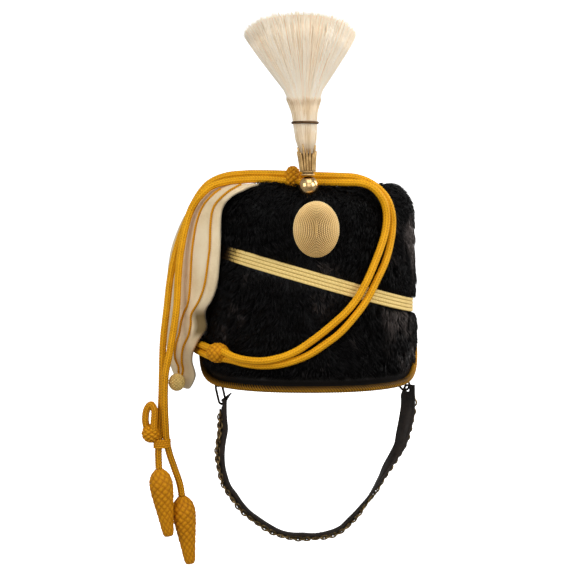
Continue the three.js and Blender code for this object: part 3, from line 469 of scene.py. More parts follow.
class Signal:
    """A value or colour inside a material. Sums and products of signals add Math nodes."""

    def __init__(self, finish, socket):
        self.finish = finish
        self.socket = socket

    def math(self, operation, first, second):
        return self.finish.node("ShaderNodeMath", {"operation": operation}, {0: first, 1: second})

    def __add__(self, other):
        return self.math("ADD", self, other)

    def __mul__(self, other):
        return self.math("MULTIPLY", self, other)

    def __sub__(self, other):
        return self.math("SUBTRACT", self, other)

    def __rsub__(self, other):
        return self.math("SUBTRACT", other, self)

    __radd__ = __add__
    __rmul__ = __mul__


def paint(red, green, blue):
    """A colour from its screen values of 0 to 255, as the linear values that a socket takes."""
    screen = np.array([red, green, blue]) / 255
    linear = np.where(screen <= 0.04045, screen / 12.92, ((screen + 0.055) / 1.055) ** 2.4)
    return (*linear.tolist(), 1.0)


class Finish:
    """A material and the nodes that lead to its shader."""

    def __init__(self, name, **constants):
        self.material = bpy.data.materials.new(name)
        self.material.use_nodes = True
        self.tree = self.material.node_tree
        self.shader = self.tree.nodes["Principled BSDF"]
        for words, value in constants.items():
            socket = words.replace("_", " ").title().replace("Ior", "IOR")
            self.shader.inputs[socket].default_value = value

    def node(self, kind, settings, inputs, output=0):
        made = self.tree.nodes.new(kind)
        for name, value in settings.items():
            if name == "stops":
                self.set_stops(made.color_ramp, value)
            else:
                setattr(made, name, value)
        for key, value in inputs.items():
            self.feed(made.inputs[key], value)
        return Signal(self, made.outputs[output])

    def feed(self, socket, value):
        if isinstance(value, Signal):
            self.tree.links.new(value.socket, socket)
        else:
            socket.default_value = value

    @staticmethod
    def set_stops(ramp, stops):
        while len(ramp.elements) < len(stops):
            ramp.elements.new(0.5)
        for element, (position, colour) in zip(ramp.elements, stops):
            element.position = position
            element.color = colour

    def spot(self):
        """The place on the object."""
        return self.node("ShaderNodeTexCoord", {}, {}, "Object")

    def noise(self, size, detail=3):
        """Soft noise from 0 to 1 whose spots are about size millimetres across."""
        inputs = {"Vector": self.spot(), "Scale": 1 / (size * MM), "Detail": detail}
        return self.node("ShaderNodeTexNoise", {}, inputs)

    def shade(self):
        """The shade stored on the piece's points."""
        return self.node("ShaderNodeAttribute", {"attribute_name": "shade"}, {}, "Fac")

    def ramp(self, value, *stops):
        return self.node("ShaderNodeValToRGB", {"stops": stops}, {"Fac": value})

    def blend(self, share, first, second):
        mix = {"data_type": "RGBA"}
        return self.node("ShaderNodeMix", mix, {0: share, 6: first, 7: second}, 2)

    def colour(self, value):
        self.feed(self.shader.inputs["Base Color"], value)

    def roughness(self, value):
        self.feed(self.shader.inputs["Roughness"], value)

    def relief(self, height, depth, strength):
        """Bumps from a height of 0 to 1, depth millimetres high."""
        inputs = {"Height": height, "Distance": depth * MM, "Strength": strength}
        self.feed(self.shader.inputs["Normal"], self.node("ShaderNodeBump", {}, inputs))


def black_fur():
    finish = Finish("black_fur", roughness=0.46, specular_ior_level=0.2)
    sheen = (finish.noise(22) - 0.5) * 1.6 + (finish.noise(60) - 0.5) * 1.6
    tips = finish.shade() * 0.5 + sheen
    tint = finish.ramp(tips, (0.05, paint(2, 1, 1)), (0.5, paint(7, 5, 5)), (1.0, paint(100, 91, 87)))
    finish.colour(tint)
    return finish.material


def dark_leather(name, base, worn, size, gloss=0.4):
    finish = Finish(name, specular_ior_level=gloss)
    wear = finish.noise(size * 12) * 0.6 + finish.noise(size * 2.5) * 0.4
    finish.colour(finish.ramp(wear, (0.35, base), (0.7, worn)))
    finish.roughness(finish.noise(size * 5) * 0.3 + 0.33)
    grain = {"Vector": finish.spot(), "Scale": 1 / (size * MM), "Randomness": 1.0}
    pores = finish.node("ShaderNodeTexVoronoi", {"feature": "DISTANCE_TO_EDGE"}, grain)
    finish.relief(pores * 1.6 + finish.noise(size * 0.5) * 0.4, 0.12, 0.7)
    return finish.material


def spun_cord(name, hollow, body, crest, roughness, thread=0.45):
    """Cord whose colour follows its stored shade: painted shade in the hollows between its strands and a
    painted highlight on their crests.
    """
    finish = Finish(name, roughness=roughness, specular_ior_level=0.15)
    height = finish.shade() + (finish.noise(thread * 2) - 0.5) * 0.3 + (finish.noise(14) - 0.5) * 0.2
    finish.colour(finish.ramp(height, (0.2, hollow), (0.6, body), (0.95, crest)))
    finish.relief(finish.noise(thread, 4), 0.12, 0.6)
    return finish.material


def ivory_cloth(name, painted_shade):
    """Felted cloth. Where the shade stored on its points is lower, it takes painted shade."""
    finish = Finish(name, roughness=0.88, sheen_weight=0.1, sheen_roughness=0.5)
    age = finish.noise(34) * 0.55 + finish.noise(9) * 0.3 + finish.noise(1.6) * 0.15
    unshaded = finish.ramp(
        age,
        (0.3, paint(216, 190, 146)),
        (0.5, paint(234, 213, 174)),
        (0.72, paint(242, 225, 192)),
    )
    # The olive-brown is painted shade: a painted shadow in the bag's tucked fold and darker cloth towards
    # its foot.
    finish.colour(finish.blend(finish.shade(), paint(98, 74, 8), unshaded) if painted_shade else unshaded)
    felt = finish.noise(0.5, 4) * 0.6 + finish.noise(1.4, 3) * 0.4
    finish.relief(felt, 0.2, 0.6)
    return finish.material


def aged_metal(name, dark, bright, smooth, rough, metallic=1.0):
    finish = Finish(name, metallic=metallic)
    patina = finish.noise(5, 5) * 0.65 + finish.noise(1.1) * 0.35
    finish.colour(finish.ramp(patina, (0.32, dark), (0.62, bright)))
    finish.roughness(patina * (rough - smooth) + smooth)
    finish.relief(finish.noise(0.9, 4), 0.05, 0.5)
    return finish.material


def horse_hair():
    # The hair glows faintly in its own colour: painted light for the light that passes through it.
    finish = Finish("plume_hair", roughness=0.65, specular_ior_level=0.2, emission_strength=0.12)
    tint = finish.ramp(
        finish.shade(),
        (0.0, paint(218, 192, 154)),
        (0.45, paint(250, 232, 205)),
        (1.0, paint(255, 246, 230)),
    )
    finish.colour(tint)
    finish.feed(finish.shader.inputs["Emission Color"], tint)
    return finish.material


FUR = black_fur()
HEM_LEATHER = dark_leather("hem_leather", paint(4, 2, 1), paint(13, 8, 5), 0.9, 0.12)
SHELL_LEATHER = dark_leather("shell_leather", paint(42, 28, 20), paint(78, 55, 40), 1.1)
STRAP_LEATHER = dark_leather("strap_leather", paint(16, 12, 10), paint(54, 45, 38), 0.8, 0.27)
GOLD_CORD = spun_cord("gold_cord", paint(112, 66, 0), paint(222, 150, 8), paint(246, 184, 30), 0.6)
# A darker copy of the gold cord, painted shade, for the knots, the tassels and the bag's pipings.
SHADED_GOLD_CORD = spun_cord("shaded_gold_cord", paint(84, 46, 0), paint(188, 120, 4), paint(226, 156, 18), 0.65)
# A darker copy of the gold cord for the rim: painted shade, as the rim lies in the shadow of the fur.
SHADED_RIM_GOLD_CORD = spun_cord("shaded_rim_gold_cord", paint(26, 15, 0), paint(122, 82, 6), paint(204, 144, 24), 0.65)
STRAW_CORD = spun_cord("straw_cord", paint(140, 102, 46), paint(224, 188, 108), paint(246, 217, 142), 0.6)
BAND_CORD = spun_cord("band_cord", paint(44, 30, 12), paint(218, 182, 102), paint(246, 217, 142), 0.6)
BAG_CLOTH = ivory_cloth("bag_cloth", True)
CROWN_CLOTH = ivory_cloth("crown_cloth", False)
BOSS_CORD = spun_cord("boss_cord", paint(90, 54, 20), paint(222, 178, 106), paint(252, 222, 162), 0.6)
BRASS = aged_metal("polished_brass", paint(178, 134, 78), paint(246, 210, 150), 0.18, 0.32)
CHAIN_BRASS = aged_metal("chain_brass", paint(22, 17, 12), paint(168, 142, 98), 0.25, 0.5)
OLD_GILT = aged_metal("old_gilt", paint(168, 128, 74), paint(232, 194, 130), 0.28, 0.5, 0.5)
DARK_GILT = aged_metal("dark_gilt", paint(60, 42, 24), paint(112, 82, 46), 0.4, 0.65, 0.5)
RING_BRONZE = aged_metal("ring_bronze", paint(60, 44, 30), paint(124, 98, 72), 0.35, 0.6)
DARK_WIRE = aged_metal("dark_wire", paint(24, 20, 16), paint(58, 48, 38), 0.4, 0.7)
PLUME_HAIR = horse_hair()
STITCH_THREAD = spun_cord("stitch_thread", paint(30, 22, 18), paint(70, 54, 44), paint(96, 78, 64), 0.7, 0.2)


def unit(vectors):
    return vectors / np.maximum(np.linalg.norm(vectors, axis=-1, keepdims=True), 1e-12)


def circle(count):
    """The angles of places spread evenly round a circle."""
    return np.arange(count) / count * FULL_TURN


def ways_round(angle, first, second):
    """Directions round a path at each angle, counted from its first crossing direction to its second."""
    return np.cos(angle)[None, :, None] * first + np.sin(angle)[None, :, None] * second


class Form:
    """Points in millimetres, faces and a shade for each point, gathered for one piece."""

    def __init__(self):
        self.points = []
        self.quads = []
        self.triangles = []
        self.shades = []
        self.count = 0

    def add(self, points, quads, triangles, shade):
        """Adds one closed shape, its faces turned outward."""
        points = np.asarray(points, float).reshape(-1, 3)
        halves = np.concatenate([quads[:, [0, 1, 2]], quads[:, [0, 2, 3]], triangles])
        a, b, c = (points[halves[:, k]] for k in range(3))
        if np.einsum("ij,ij->", a, np.cross(b, c)) < 0:
            quads, triangles = quads[:, ::-1], triangles[:, ::-1]
        self.points.append(points)
        self.quads.append(quads + self.count)
        self.triangles.append(triangles + self.count)
        self.shades.append(np.broadcast_to(np.asarray(shade, float), len(points)))
        self.count += len(points)
        return self

    def loft(self, rings, shade=0.5, joined=False):
        """A skin over equal rings, joined into a loop or closed at each end by a fan."""
        rows, columns, _ = rings.shape
        row, column = np.meshgrid(np.arange(rows if joined else rows - 1), np.arange(columns), indexing="ij")
        after = (row + 1) % rows * columns
        beside = (column + 1) % columns
        row = row * columns
        quads = np.stack([row + column, row + beside, after + beside, after + column], -1).reshape(-1, 4)
        points = rings.reshape(-1, 3)
        shade = np.broadcast_to(shade, (rows, columns)).reshape(-1)
        if joined:
            return self.add(points, quads, np.zeros((0, 3), int), shade)
        points = np.vstack([points, rings[0].mean(0), rings[-1].mean(0)])
        shade = np.append(shade, [shade[:columns].mean(), shade[-columns:].mean()])
        here = np.arange(columns)
        there = (here + 1) % columns
        last = (rows - 1) * columns
        middle = np.full(columns, rows * columns)
        lids = [np.stack([there, here, middle], -1), np.stack([here + last, there + last, middle + 1], -1)]
        return self.add(points, quads, np.concatenate(lids), shade)


def piece(name, form, finish, slot, *nodes):
    """A mesh piece on the cap, in place of the CAD nodes that are named."""
    points = np.concatenate(form.points) * MM
    quads = np.concatenate(form.quads)
    triangles = np.concatenate(form.triangles)
    corners = np.concatenate([quads.ravel(), triangles.ravel()])
    starts = np.concatenate([np.arange(len(quads)) * 4, len(quads) * 4 + np.arange(len(triangles)) * 3])
    mesh = bpy.data.meshes.new(name)
    mesh.vertices.add(len(points))
    mesh.vertices.foreach_set("co", points.astype(np.float32).ravel())
    mesh.loops.add(len(corners))
    mesh.loops.foreach_set("vertex_index", corners.astype(np.int32))
    mesh.polygons.add(len(starts))
    mesh.polygons.foreach_set("loop_start", starts.astype(np.int32))
    mesh.update(calc_edges=True)
    mesh.shade_smooth()
    shade = mesh.attributes.new("shade", "FLOAT", "POINT")
    shade.data.foreach_set("value", np.concatenate(form.shades).astype(np.float32))
    made = bpy.data.objects.new(name, mesh)
    bpy.context.scene.collection.objects.link(made)
    return settle(made, finish, slot, *nodes)


def settle(made, finish, slot, *nodes):
    """Gives a piece its finish and its place in the frame."""
    made.data.materials.clear()
    made.data.materials.append(finish)
    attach(made, "root")
    if nodes:
        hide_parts(*nodes)
    return made


def evenly(path, spacing, closed=False):
    """The path's points moved to be about a spacing apart."""
    if closed:
        path = np.vstack([path, path[:1]])
    run = np.append(0, np.cumsum(np.linalg.norm(np.diff(path, axis=0), axis=1)))
    steps = max(2, round(run[-1] / spacing))
    marks = np.linspace(0, run[-1], steps + 1)
    even = np.column_stack([np.interp(marks, run, path[:, k]) for k in range(3)])
    return even[:-1] if closed else even


def smooth_route(points, spacing):
    """Points a spacing apart on the centripetal Catmull-Rom curve through the given ones."""
    p = np.array(points, float)
    p = np.vstack([2 * p[0] - p[1], p, 2 * p[-1] - p[-2]])
    knot = np.append(0, np.cumsum(np.linalg.norm(np.diff(p, axis=0), axis=1) ** 0.5))
    spans = []
    for i in range(1, len(p) - 2):
        t0, t1, t2, t3 = knot[i - 1:i + 3]
        t = np.linspace(t1, t2, 24, endpoint=False)[:, None]
        a1 = (t1 - t) / (t1 - t0) * p[i - 1] + (t - t0) / (t1 - t0) * p[i]
        a2 = (t2 - t) / (t2 - t1) * p[i] + (t - t1) / (t2 - t1) * p[i + 1]
        a3 = (t3 - t) / (t3 - t2) * p[i + 1] + (t - t2) / (t3 - t2) * p[i + 2]
        b1 = (t2 - t) / (t2 - t0) * a1 + (t - t0) / (t2 - t0) * a2
        b2 = (t3 - t) / (t3 - t1) * a2 + (t - t1) / (t3 - t1) * a3
        spans.append((t2 - t) / (t2 - t1) * b1 + (t - t1) / (t2 - t1) * b2)
    return evenly(np.vstack([*spans, p[-2:-1]]), spacing)


def headings(path, closed=False):
    """The direction of a path at each of its points."""
    if closed:
        return unit(np.roll(path, -1, axis=0) - np.roll(path, 1, axis=0))
    return unit(np.gradient(path, axis=0))


def carried_frames(path):
    """Two crossing directions along a path, carried along it with no twist of their own."""
    ahead = headings(path)
    start = np.cross(ahead[0], [0.31, 0.87, 0.38])
    side = np.empty_like(path)
    for i, way in enumerate(ahead):
        start = start - way * start.dot(way)
        start = start / np.linalg.norm(start)
        side[i] = start
    return side, np.cross(ahead, side)


def braid_relief(columns, pitch, slant):
    """Heights of a fine braid: lengthwise columns of slanting stitches that meet in Vs."""
    def height(turns, run):
        place = columns * turns % 1
        lean = np.where(np.floor(columns * turns) % 2 == 0, slant, -slant)
        stitch = np.abs(np.sin(np.pi * (run / pitch + lean * (place - 0.5)))) ** 0.7
        rib = 1 - np.abs(2 * place - 1) ** 2.5
        return (0.6 + 0.4 * rib) * (0.4 + 0.6 * stitch)
    return height


def strand_relief(cells, pitch):
    """Heights of a round braid: slanting strands that pass over and under one another."""
    def height(turns, run):
        first = cells * turns + run / pitch
        second = cells * turns - run / pitch
        over = (np.floor(first) + np.floor(second)) % 2 == 0
        rise_first = np.abs(np.sin(np.pi * first))
        rise_second = np.abs(np.sin(np.pi * second))
        first_above = rise_first ** 0.8 * rise_second ** 0.35
        second_above = rise_second ** 0.8 * rise_first ** 0.35
        return np.where(over, first_above, second_above)
    return height


def twist_relief(strands, lay):
    """Heights of a twisted cord: strands that wind round it once in each lay."""
    def height(turns, run):
        return np.abs(np.sin(np.pi * (strands * turns + strands * run / lay))) ** 0.6
    return height


def cord_rings(path, diameter, sides, relief, depth, frames=None):
    """Rings of a cord round its path, and the height of the cord's relief at each point."""
    side, up = frames or carried_frames(path)
    turns = np.arange(sides) / sides
    step = np.linalg.norm(np.diff(path, axis=0), axis=1)
    run = np.append(0, np.cumsum(step))[:, None]
    height = relief(turns[None, :], run)
    radius = diameter / 2 - depth * (1 - height)
    around = ways_round(turns * FULL_TURN, side[:, None], up[:, None])
    return path[:, None] + radius[..., None] * around, height


def closed_frames(path, spacing):
    """A closed path at an even spacing, its outward and upward directions and its length."""
    path = evenly(path, spacing, closed=True)
    ahead = headings(path, closed=True)
    out = unit(np.cross(ahead, [0.0, 0.0, 1.0]))
    length = np.linalg.norm(path - np.roll(path, 1, axis=0), axis=1).sum()
    return path, out, np.cross(out, ahead), length


def outline(turn, z, proud):
    """Points of the cap's outline at a height, moved outward by proud."""
    turn, z, proud = np.broadcast_arrays(np.asarray(turn, float), z, proud)
    climb = np.clip(z / CAP_HEIGHT, 0, 1)
    half_width = RIM_HALF_WIDTH - WIDTH_TAPER * climb + proud
    half_depth = RIM_HALF_DEPTH - DEPTH_TAPER * climb + proud
    side, front = np.sin(turn), np.cos(turn)
    reach = np.abs(side / half_width) ** SQUARENESS + np.abs(front / half_depth) ** SQUARENESS
    radius = reach ** (-1 / SQUARENESS)
    return np.stack([radius * side, -radius * front, z], -1)


def rim_level(turn):
    """The height of the arched rim."""
    return RIM_RISE * np.abs(np.sin(turn)) ** RIM_RISE_SHARPNESS


def build_linings():
    """The hem, the rim cord and the sweatband."""
    turn = circle(LINING_POINTS)
    rings = [outline(turn, rim_level(turn) + rise, proud) for proud, rise in HEM_PROFILE]
    hem = Form().loft(np.stack(rings, 1), joined=True)
    piece("leather_rim_binding", hem, HEM_LEATHER, "hem_leather", "leather_hem")

    fine_turn = circle(ROUTE_POINTS)
    route = outline(fine_turn, rim_level(fine_turn) + RIM_CORD / 2, -RIM_CORD / 2)
    route, out, up, length = closed_frames(route, RIM_CORD_STEP)
    twist = twist_relief(RIM_CORD_STRANDS, length / round(length / RIM_CORD_LAY))
    thickness = RIM_CORD + RIM_CORD_SWELL
    rings, height = cord_rings(route, thickness, RIM_CORD_SIDES, twist, RIM_CORD_RELIEF, (out, up))
    # Painted shadow darkens the cord's upper side under the hem. At the right end, worn marks a painted pool
    # of light instead.
    upper = np.clip(np.sin(circle(RIM_CORD_SIDES)) + 0.2, 0, 1)[None, :]
    x = route[:, :1]
    worn = np.clip((np.abs(x) - RIM_LIT_FROM) / RIM_LIT_OVER, 0, 1) * (x > 0)
    shade = height * 0.85 - RIM_CORD_SHADOW * upper * (1 - worn) + RIM_PAINTED_LIGHT * worn
    piece("twisted_rim_cord", Form().loft(rings, shade, joined=True), SHADED_RIM_GOLD_CORD, "gold_cord", "rim_cord")

    foot = rim_level(turn) - SWEATBAND_DROP * np.abs(np.sin(turn)) ** 6
    scallops = np.abs(np.sin(turn * SWEATBAND_SCALLOPS / 2)) ** 0.5
    head = SWEATBAND_HEIGHT - SWEATBAND_SCALLOP_DEPTH * scallops
    outer = -SHELL_DEPTH - SHELL_WALL - TAB_ROOM
    rings = []
    for proud, first, last in ((outer, 0, 1), (outer - SWEATBAND_THICKNESS, 1, 0)):
        for share in np.linspace(first, last, 8):
            rings.append(outline(turn, foot + (head - foot) * share, proud))
    band = Form().loft(np.stack(rings, 1), joined=True)
    piece("leather_sweatband", band, STRAP_LEATHER, "shell_leather", "sweatband")


def band_plane(x, y):
    """The height of the braid band's slanting plane."""
    return BAND_LEVEL + BAND_SLOPE_X * x + BAND_SLOPE_Y * y


def from_band(points):
    """How far points stand above the middle of the braid band, square to it."""
    rise = points[..., 2] - band_plane(points[..., 0], points[..., 1])
    return rise / math.hypot(1, BAND_SLOPE_X, BAND_SLOPE_Y)


def build_band():
    """A flat braid of plaited ribs round the fur."""
    turn = circle(ROUTE_POINTS)
    route = outline(turn, BAND_LEVEL, -BAND_DEPTH)
    for _ in range(5):
        route = outline(turn, band_plane(route[:, 0], route[:, 1]), -BAND_DEPTH)
    route, out, up, length = closed_frames(route, BAND_STEP)
    run = np.arange(len(route)) / len(route) * length
    pitch = length / round(length / BAND_STITCH)
    across = np.linspace(-1, 1, BAND_POINTS)
    rib = (across + 1) / 2 * BAND_RIBS
    place = rib % 1
    way = np.where(np.floor(np.minimum(rib, BAND_RIBS - 0.01)) % 2 == 0, 1, -1)
    slant = np.abs(place - 0.5) * BAND_STITCH_SLANT * way
    stitches = np.abs(np.sin(np.pi * (run[:, None] / pitch + slant[None, :]))) ** 0.6
    dome = np.sqrt(np.clip(1 - (2 * np.abs(place - 0.5)) ** 3, 0, 1))[None, :]
    height = dome * (0.5 + 0.5 * stitches)
    face = BAND_THICKNESS / 2 - BAND_RELIEF * (1 - height)
    face[:, [0, -1]] = BAND_EDGE
    half = BAND_WIDTH / 2
    front = route[:, None] + up[:, None] * (across * half)[None, :, None] + out[:, None] * face[..., None]
    back = [route + up * (half * end) - out * (BAND_THICKNESS / 2) for end in (0.98, 0, -0.98)]
    rings = np.concatenate([front, np.stack(back, 1)], 1)
    # Painted shade: the band darkens towards its left end, and its back takes the darkest shade.
    lit = np.clip((route[:, :1] - BRAID_HIDDEN + BAND_SHADE_START) / BAND_SHADE_REACH, 0, 1)
    lit = np.where(route[:, 1:2] < 0, lit, 1)
    shade = np.concatenate([(0.3 + 0.7 * height) * lit, np.zeros((len(route), len(back)))], 1)
    piece("plaited_band", Form().loft(rings, shade, joined=True), BAND_CORD, "straw_cord", "braid_band")


def bag_share(turn):
    """How fully the bag lies over the cap's top at a turn."""
    return np.clip((-np.sin(turn) - 0.2) / 0.5, 0, 1)


def signed_turn(turn):
    """A turn within half a turn of the front, to either side."""
    return (turn + math.pi) % FULL_TURN - math.pi


def pelt(turn, climb):
    """The skin under the fur. climb runs from 0 to 1 up the wall and from 1 to 2 over the shoulder."""
    wall = np.clip(climb, 0, 1)
    arc = np.clip(climb - 1, 0, 1) * math.pi / 2
    low = rim_level(turn) + PELT_FOOT
    top = SHOULDER_LEVEL - BAG_PRESS * bag_share(turn)
    beside_bag = BAG_SIDE_RISE * np.exp(-((signed_turn(turn) - BAG_SIDE_TURN) / BAG_SIDE_REACH) ** 2)
    z = low + (top - low) * wall + (SHOULDER_RISE + beside_bag) * np.sin(arc)
    groove = BAND_GROOVE * np.exp(-(from_band(outline(turn, z, -PELT_DEPTH)) / BAND_GROOVE_REACH) ** 2)
    return outline(turn, z, -PELT_DEPTH - groove - SHOULDER_REACH * (1 - np.cos(arc)))


def pelt_frames(turn, climb):
    """The point, the downward, outward and sideways directions of the pelt."""
    here = pelt(turn, climb)
    down = unit(pelt(turn, climb - 0.01) - pelt(turn, climb + 0.01))
    side = unit(pelt(turn + 0.005, climb) - pelt(turn - 0.005, climb))
    return here, down, unit(np.cross(down, side)), side


def build_pelt():
    """The closed skin under the hairs."""
    turn = circle(PELT_POINTS)
    rings = [outline(turn, rim_level(turn) + HEM_HEIGHT + 0.8, HEM_INNER)]
    rings += [pelt(turn, climb) for climb in np.linspace(0, 1, 14)]
    rings += [pelt(turn, 1 + climb) for climb in np.linspace(0.12, 1, 9)]
    rings += [
        outline(turn, PELT_SHELF - BAG_PRESS * bag_share(turn) * 0.5, PELT_INNER),
        outline(turn, SHELL_TOP + 0.6, PELT_INNER),
        outline(turn, SHELL_TOP + 0.6, -SHELL_DEPTH - 4),
        outline(turn, SHELL_TOP - 3.5, HEM_INNER),
    ]
    piece("fur_pelt", Form().loft(np.stack(rings, 0), 0.05, joined=True), FUR, "fur", "fur")


def strands(form, centres, normals, width, taper, shade):
    """Adds closed three-sided strands. centres holds each strand's points, the last of them its tip."""
    count, rows, _ = centres.shape
    ahead = unit(np.gradient(centres, axis=1))
    side = unit(np.cross(ahead, normals[:, None]))
    up = np.cross(side, ahead)
    angle = np.array([90, 210, 330]) * DEGREE
    radius = width[:, None] / 2 * np.asarray(taper)[None, :]
    around = np.cos(angle)[:, None] * side[:, :-1, None] + np.sin(angle)[:, None] * up[:, :-1, None]
    rings = centres[:, :-1, None] + radius[:, :-1, None, None] * around
    points = np.concatenate([rings.reshape(count, -1, 3), centres[:, -1:]], 1)
    each = points.shape[1]
    row, corner = np.meshgrid(np.arange(rows - 2), np.arange(3), indexing="ij")
    low, beside = row * 3 + corner, row * 3 + (corner + 1) % 3
    quads = np.stack([low, beside, beside + 3, low + 3], -1).reshape(-1, 4)
    last = (rows - 2) * 3
    tip = [[last + k, last + (k + 1) % 3, each - 1] for k in range(3)]
    triangles = np.array([[2, 1, 0], *tip])
    start = (np.arange(count) * each)[:, None, None]
    shades = np.concatenate([np.repeat(shade[:, :-1], 3, axis=1), shade[:, -1:]], 1)
    return form.add(
        points.reshape(-1, 3),
        (quads[None] + start).reshape(-1, 4),
        (triangles[None] + start).reshape(-1, 3),
        shades.reshape(-1),
    )


def hair_curve(turn, climb, length, lift, sway, curl):
    """Points of hairs that rise from the pelt and lie down along it."""
    here, down, out, side = pelt_frames(turn, climb)
    s = HAIR_STEPS[None, :, None]
    long = length[:, None, None]
    run = down[:, None] * (0.8 * s + 0.12 * s ** 2)
    rise = out[:, None] * (lift[:, None, None] * (s - 0.52 * s ** 2))
    drift = side[:, None] * (sway[:, None, None] * s + curl[:, None, None] * s ** 2)
    return here[:, None] + long * (run + rise + drift), out


def lock_values(turn, climb):
    """The lock that each hair belongs to: its middle and its own length, lift, sway and shade."""
    column_count = round(FULL_TURN * LOCK_RADIUS / LOCK_WIDTH)
    row_height = LOCK_HEIGHT / PELT_WALL_LENGTH
    row = np.floor(climb / row_height + 0.35 * np.sin(turn * 9)).astype(int)
    stagger = (row % 2) * 0.5
    column = np.floor(turn / FULL_TURN * column_count + stagger).astype(int) % column_count
    values = chance.random((row.max() + 2, column_count, 6))
    picked = values[row, column]
    middle_turn = (column + 0.25 + 0.5 * picked[:, 0] - stagger) / column_count * FULL_TURN
    middle_climb = (row + 0.2 + 0.6 * picked[:, 1]) * row_height
    return middle_turn, np.clip(middle_climb, 0, 1.95), picked


def under_bag(turn, points):
    """Which points lie under the bag, away from its edges."""
    rows = BAG_ROWS[BAG_SIDE_ROW:][::-1]
    heights = np.array([row["front"][2] for row in rows])
    front = np.array([math.atan2(row["front"][0], -row["front"][1]) for row in rows])
    rear = np.array([math.atan2(row["rear"][0], -row["rear"][1]) for row in rows])
    rear = np.where(rear > 0, rear - FULL_TURN, rear)
    z = points[:, 2]
    signed = np.where(turn > math.pi, turn - FULL_TURN, turn)
    shift = np.clip((z - BAG_SIDE_SHIFT_FROM) / BAG_SIDE_SHIFT_OVER, 0, 1) * BAG_SIDE_SHIFT
    inside = signed < np.interp(z, heights, front) - BAG_SIDE_MARGIN + shift
    inside &= signed > np.interp(z, heights, rear) + BAG_SIDE_MARGIN
    return inside & (z > heights[0])


def in_boss(points, scale):
    """Which points lie behind the boss when its outline is scaled."""
    across = (points[:, 0] - BOSS_CENTRE[0]) / (BOSS_HALF_WIDTH * scale)
    upward = (points[:, 2] - BOSS_CENTRE[2]) / (BOSS_HALF_HEIGHT * scale)
    return (across ** 2 + upward ** 2 < 1) & (points[:, 1] < BOSS_BEHIND)


def painted_sheen(turn, height):
    """How much paler the fur is painted, in patches of painted sheen."""
    total = 0.0
    for patch_turn, patch_height, turn_reach, height_reach, amount in SHEEN_PATCHES:
        sideways = signed_turn(turn - patch_turn * DEGREE) / (turn_reach * DEGREE)
        total = total + amount * np.exp(-sideways ** 2 - ((height - patch_height) / height_reach) ** 2)
    return total


def build_fur():
    """Short hairs in overlapping locks, laid downward, and kept off the band, the boss and the bag."""
    rows = round(PELT_WHOLE_LENGTH / ROOT_SPACING)
    columns = round(FULL_TURN * PELT_RADIUS / ROOT_SPACING)
    row, column = np.meshgrid(np.arange(rows), np.arange(columns), indexing="ij")
    jitter = chance.random((2, row.size)) - 0.5
    turn = ((column.ravel() + 0.5 * (row.ravel() % 2) + jitter[0]) / columns % 1) * FULL_TURN
    climb = (row.ravel() + 0.5 + jitter[1]) / rows * (1 + SHOULDER_SHARE)
    climb = np.where(climb > 1, 1 + (climb - 1) / SHOULDER_SHARE, climb)
    middle_turn, middle_climb, lock = lock_values(turn, climb)
    own = chance.random((5, len(turn)))
    length = HAIR_LENGTH * (0.7 + 0.35 * lock[:, 2] + 0.25 * own[0])
    length = length * np.interp(climb, [0.95, 1.2, 1.5], [1, 0.85, 0.62])
    lift = 0.55 + 0.3 * lock[:, 3] + 0.35 * own[1]
    flow = 0.35 * np.sin(turn * 5 + climb * 4) + 0.25 * np.sin(turn * 13 - climb * 9)
    sway = flow + 0.9 * (lock[:, 4] - 0.5) + 0.6 * (own[2] - 0.5)
    curl = 0.6 * (lock[:, 5] - 0.5) + 0.4 * (own[3] - 0.5)
    hairs, out = hair_curve(turn, climb, length, lift, sway, curl)
    lock_length = HAIR_LENGTH * (0.8 + 0.4 * lock[:, 2])
    lock_lift = 0.66 + 0.2 * lock[:, 3]
    gathered, _ = hair_curve(middle_turn, middle_climb, lock_length, lock_lift, sway, curl)
    hairs = hairs + (gathered - hairs) * (LOCK_PULL * HAIR_STEPS ** 2)[None, :, None]

    root, tip = hairs[:, 0], hairs[:, -1]
    edge = rim_level(turn) + FUR_EDGE + FUR_EDGE_SPREAD * own[4]
    drop = np.maximum(root[:, 2] - tip[:, 2], 0.1)
    reach = np.minimum(1, np.where(tip[:, 2] < edge, (root[:, 2] - edge) / drop, 1))
    root_band, tip_band = from_band(root), from_band(tip)
    limit = BAND_WIDTH / 2 - BAND_OVERHANG * own[4]
    beside = (root[:, 0] > BRAID_HIDDEN + BRAID_FADE * own[0]) | (root[:, 1] > 0)
    over = (root_band > limit) & (tip_band < limit) & beside
    reach = np.minimum(reach, np.where(over, (root_band - limit) / np.maximum(root_band - tip_band, 0.1), 1))
    reach = np.where(in_boss(tip, 1.0) & ~in_boss(root, 0.95), reach * 0.45, reach)
    in_band = (np.abs(root_band) < BAND_WIDTH / 2 + 0.1) & beside
    kept = (reach > SHORTEST_HAIR) & ~in_band & ~in_boss(root, 0.93) & ~under_bag(turn, root)
    hairs = root[:, None] + (hairs - root[:, None]) * reach[:, None, None]
    width = HAIR_WIDTH * (0.7 + 0.6 * own[1]) * np.clip(reach + 0.2, 0.5, 1)
    # Each hair's tone: chance plus painted sheen. HAIR_SHADES then darken it towards the root as painted
    # shade.
    tone = 0.25 * lock[:, 2] + 0.45 * own[3] + 0.1 + painted_sheen(turn, root[:, 2])
    shade = tone[:, None] * HAIR_SHADES[None, :]
    degrees = np.degrees(turn)
    for place, (start, end) in FUR_QUARTERS.items():
        chosen = kept & ((degrees - start) % 360 < end - start)
        form = strands(Form(), hairs[chosen], out[chosen], width[chosen], HAIR_TAPER, shade[chosen])
        if place == "front":
            stem_tuft(form)
        piece(f"fur_{place}", form, FUR, "fur")


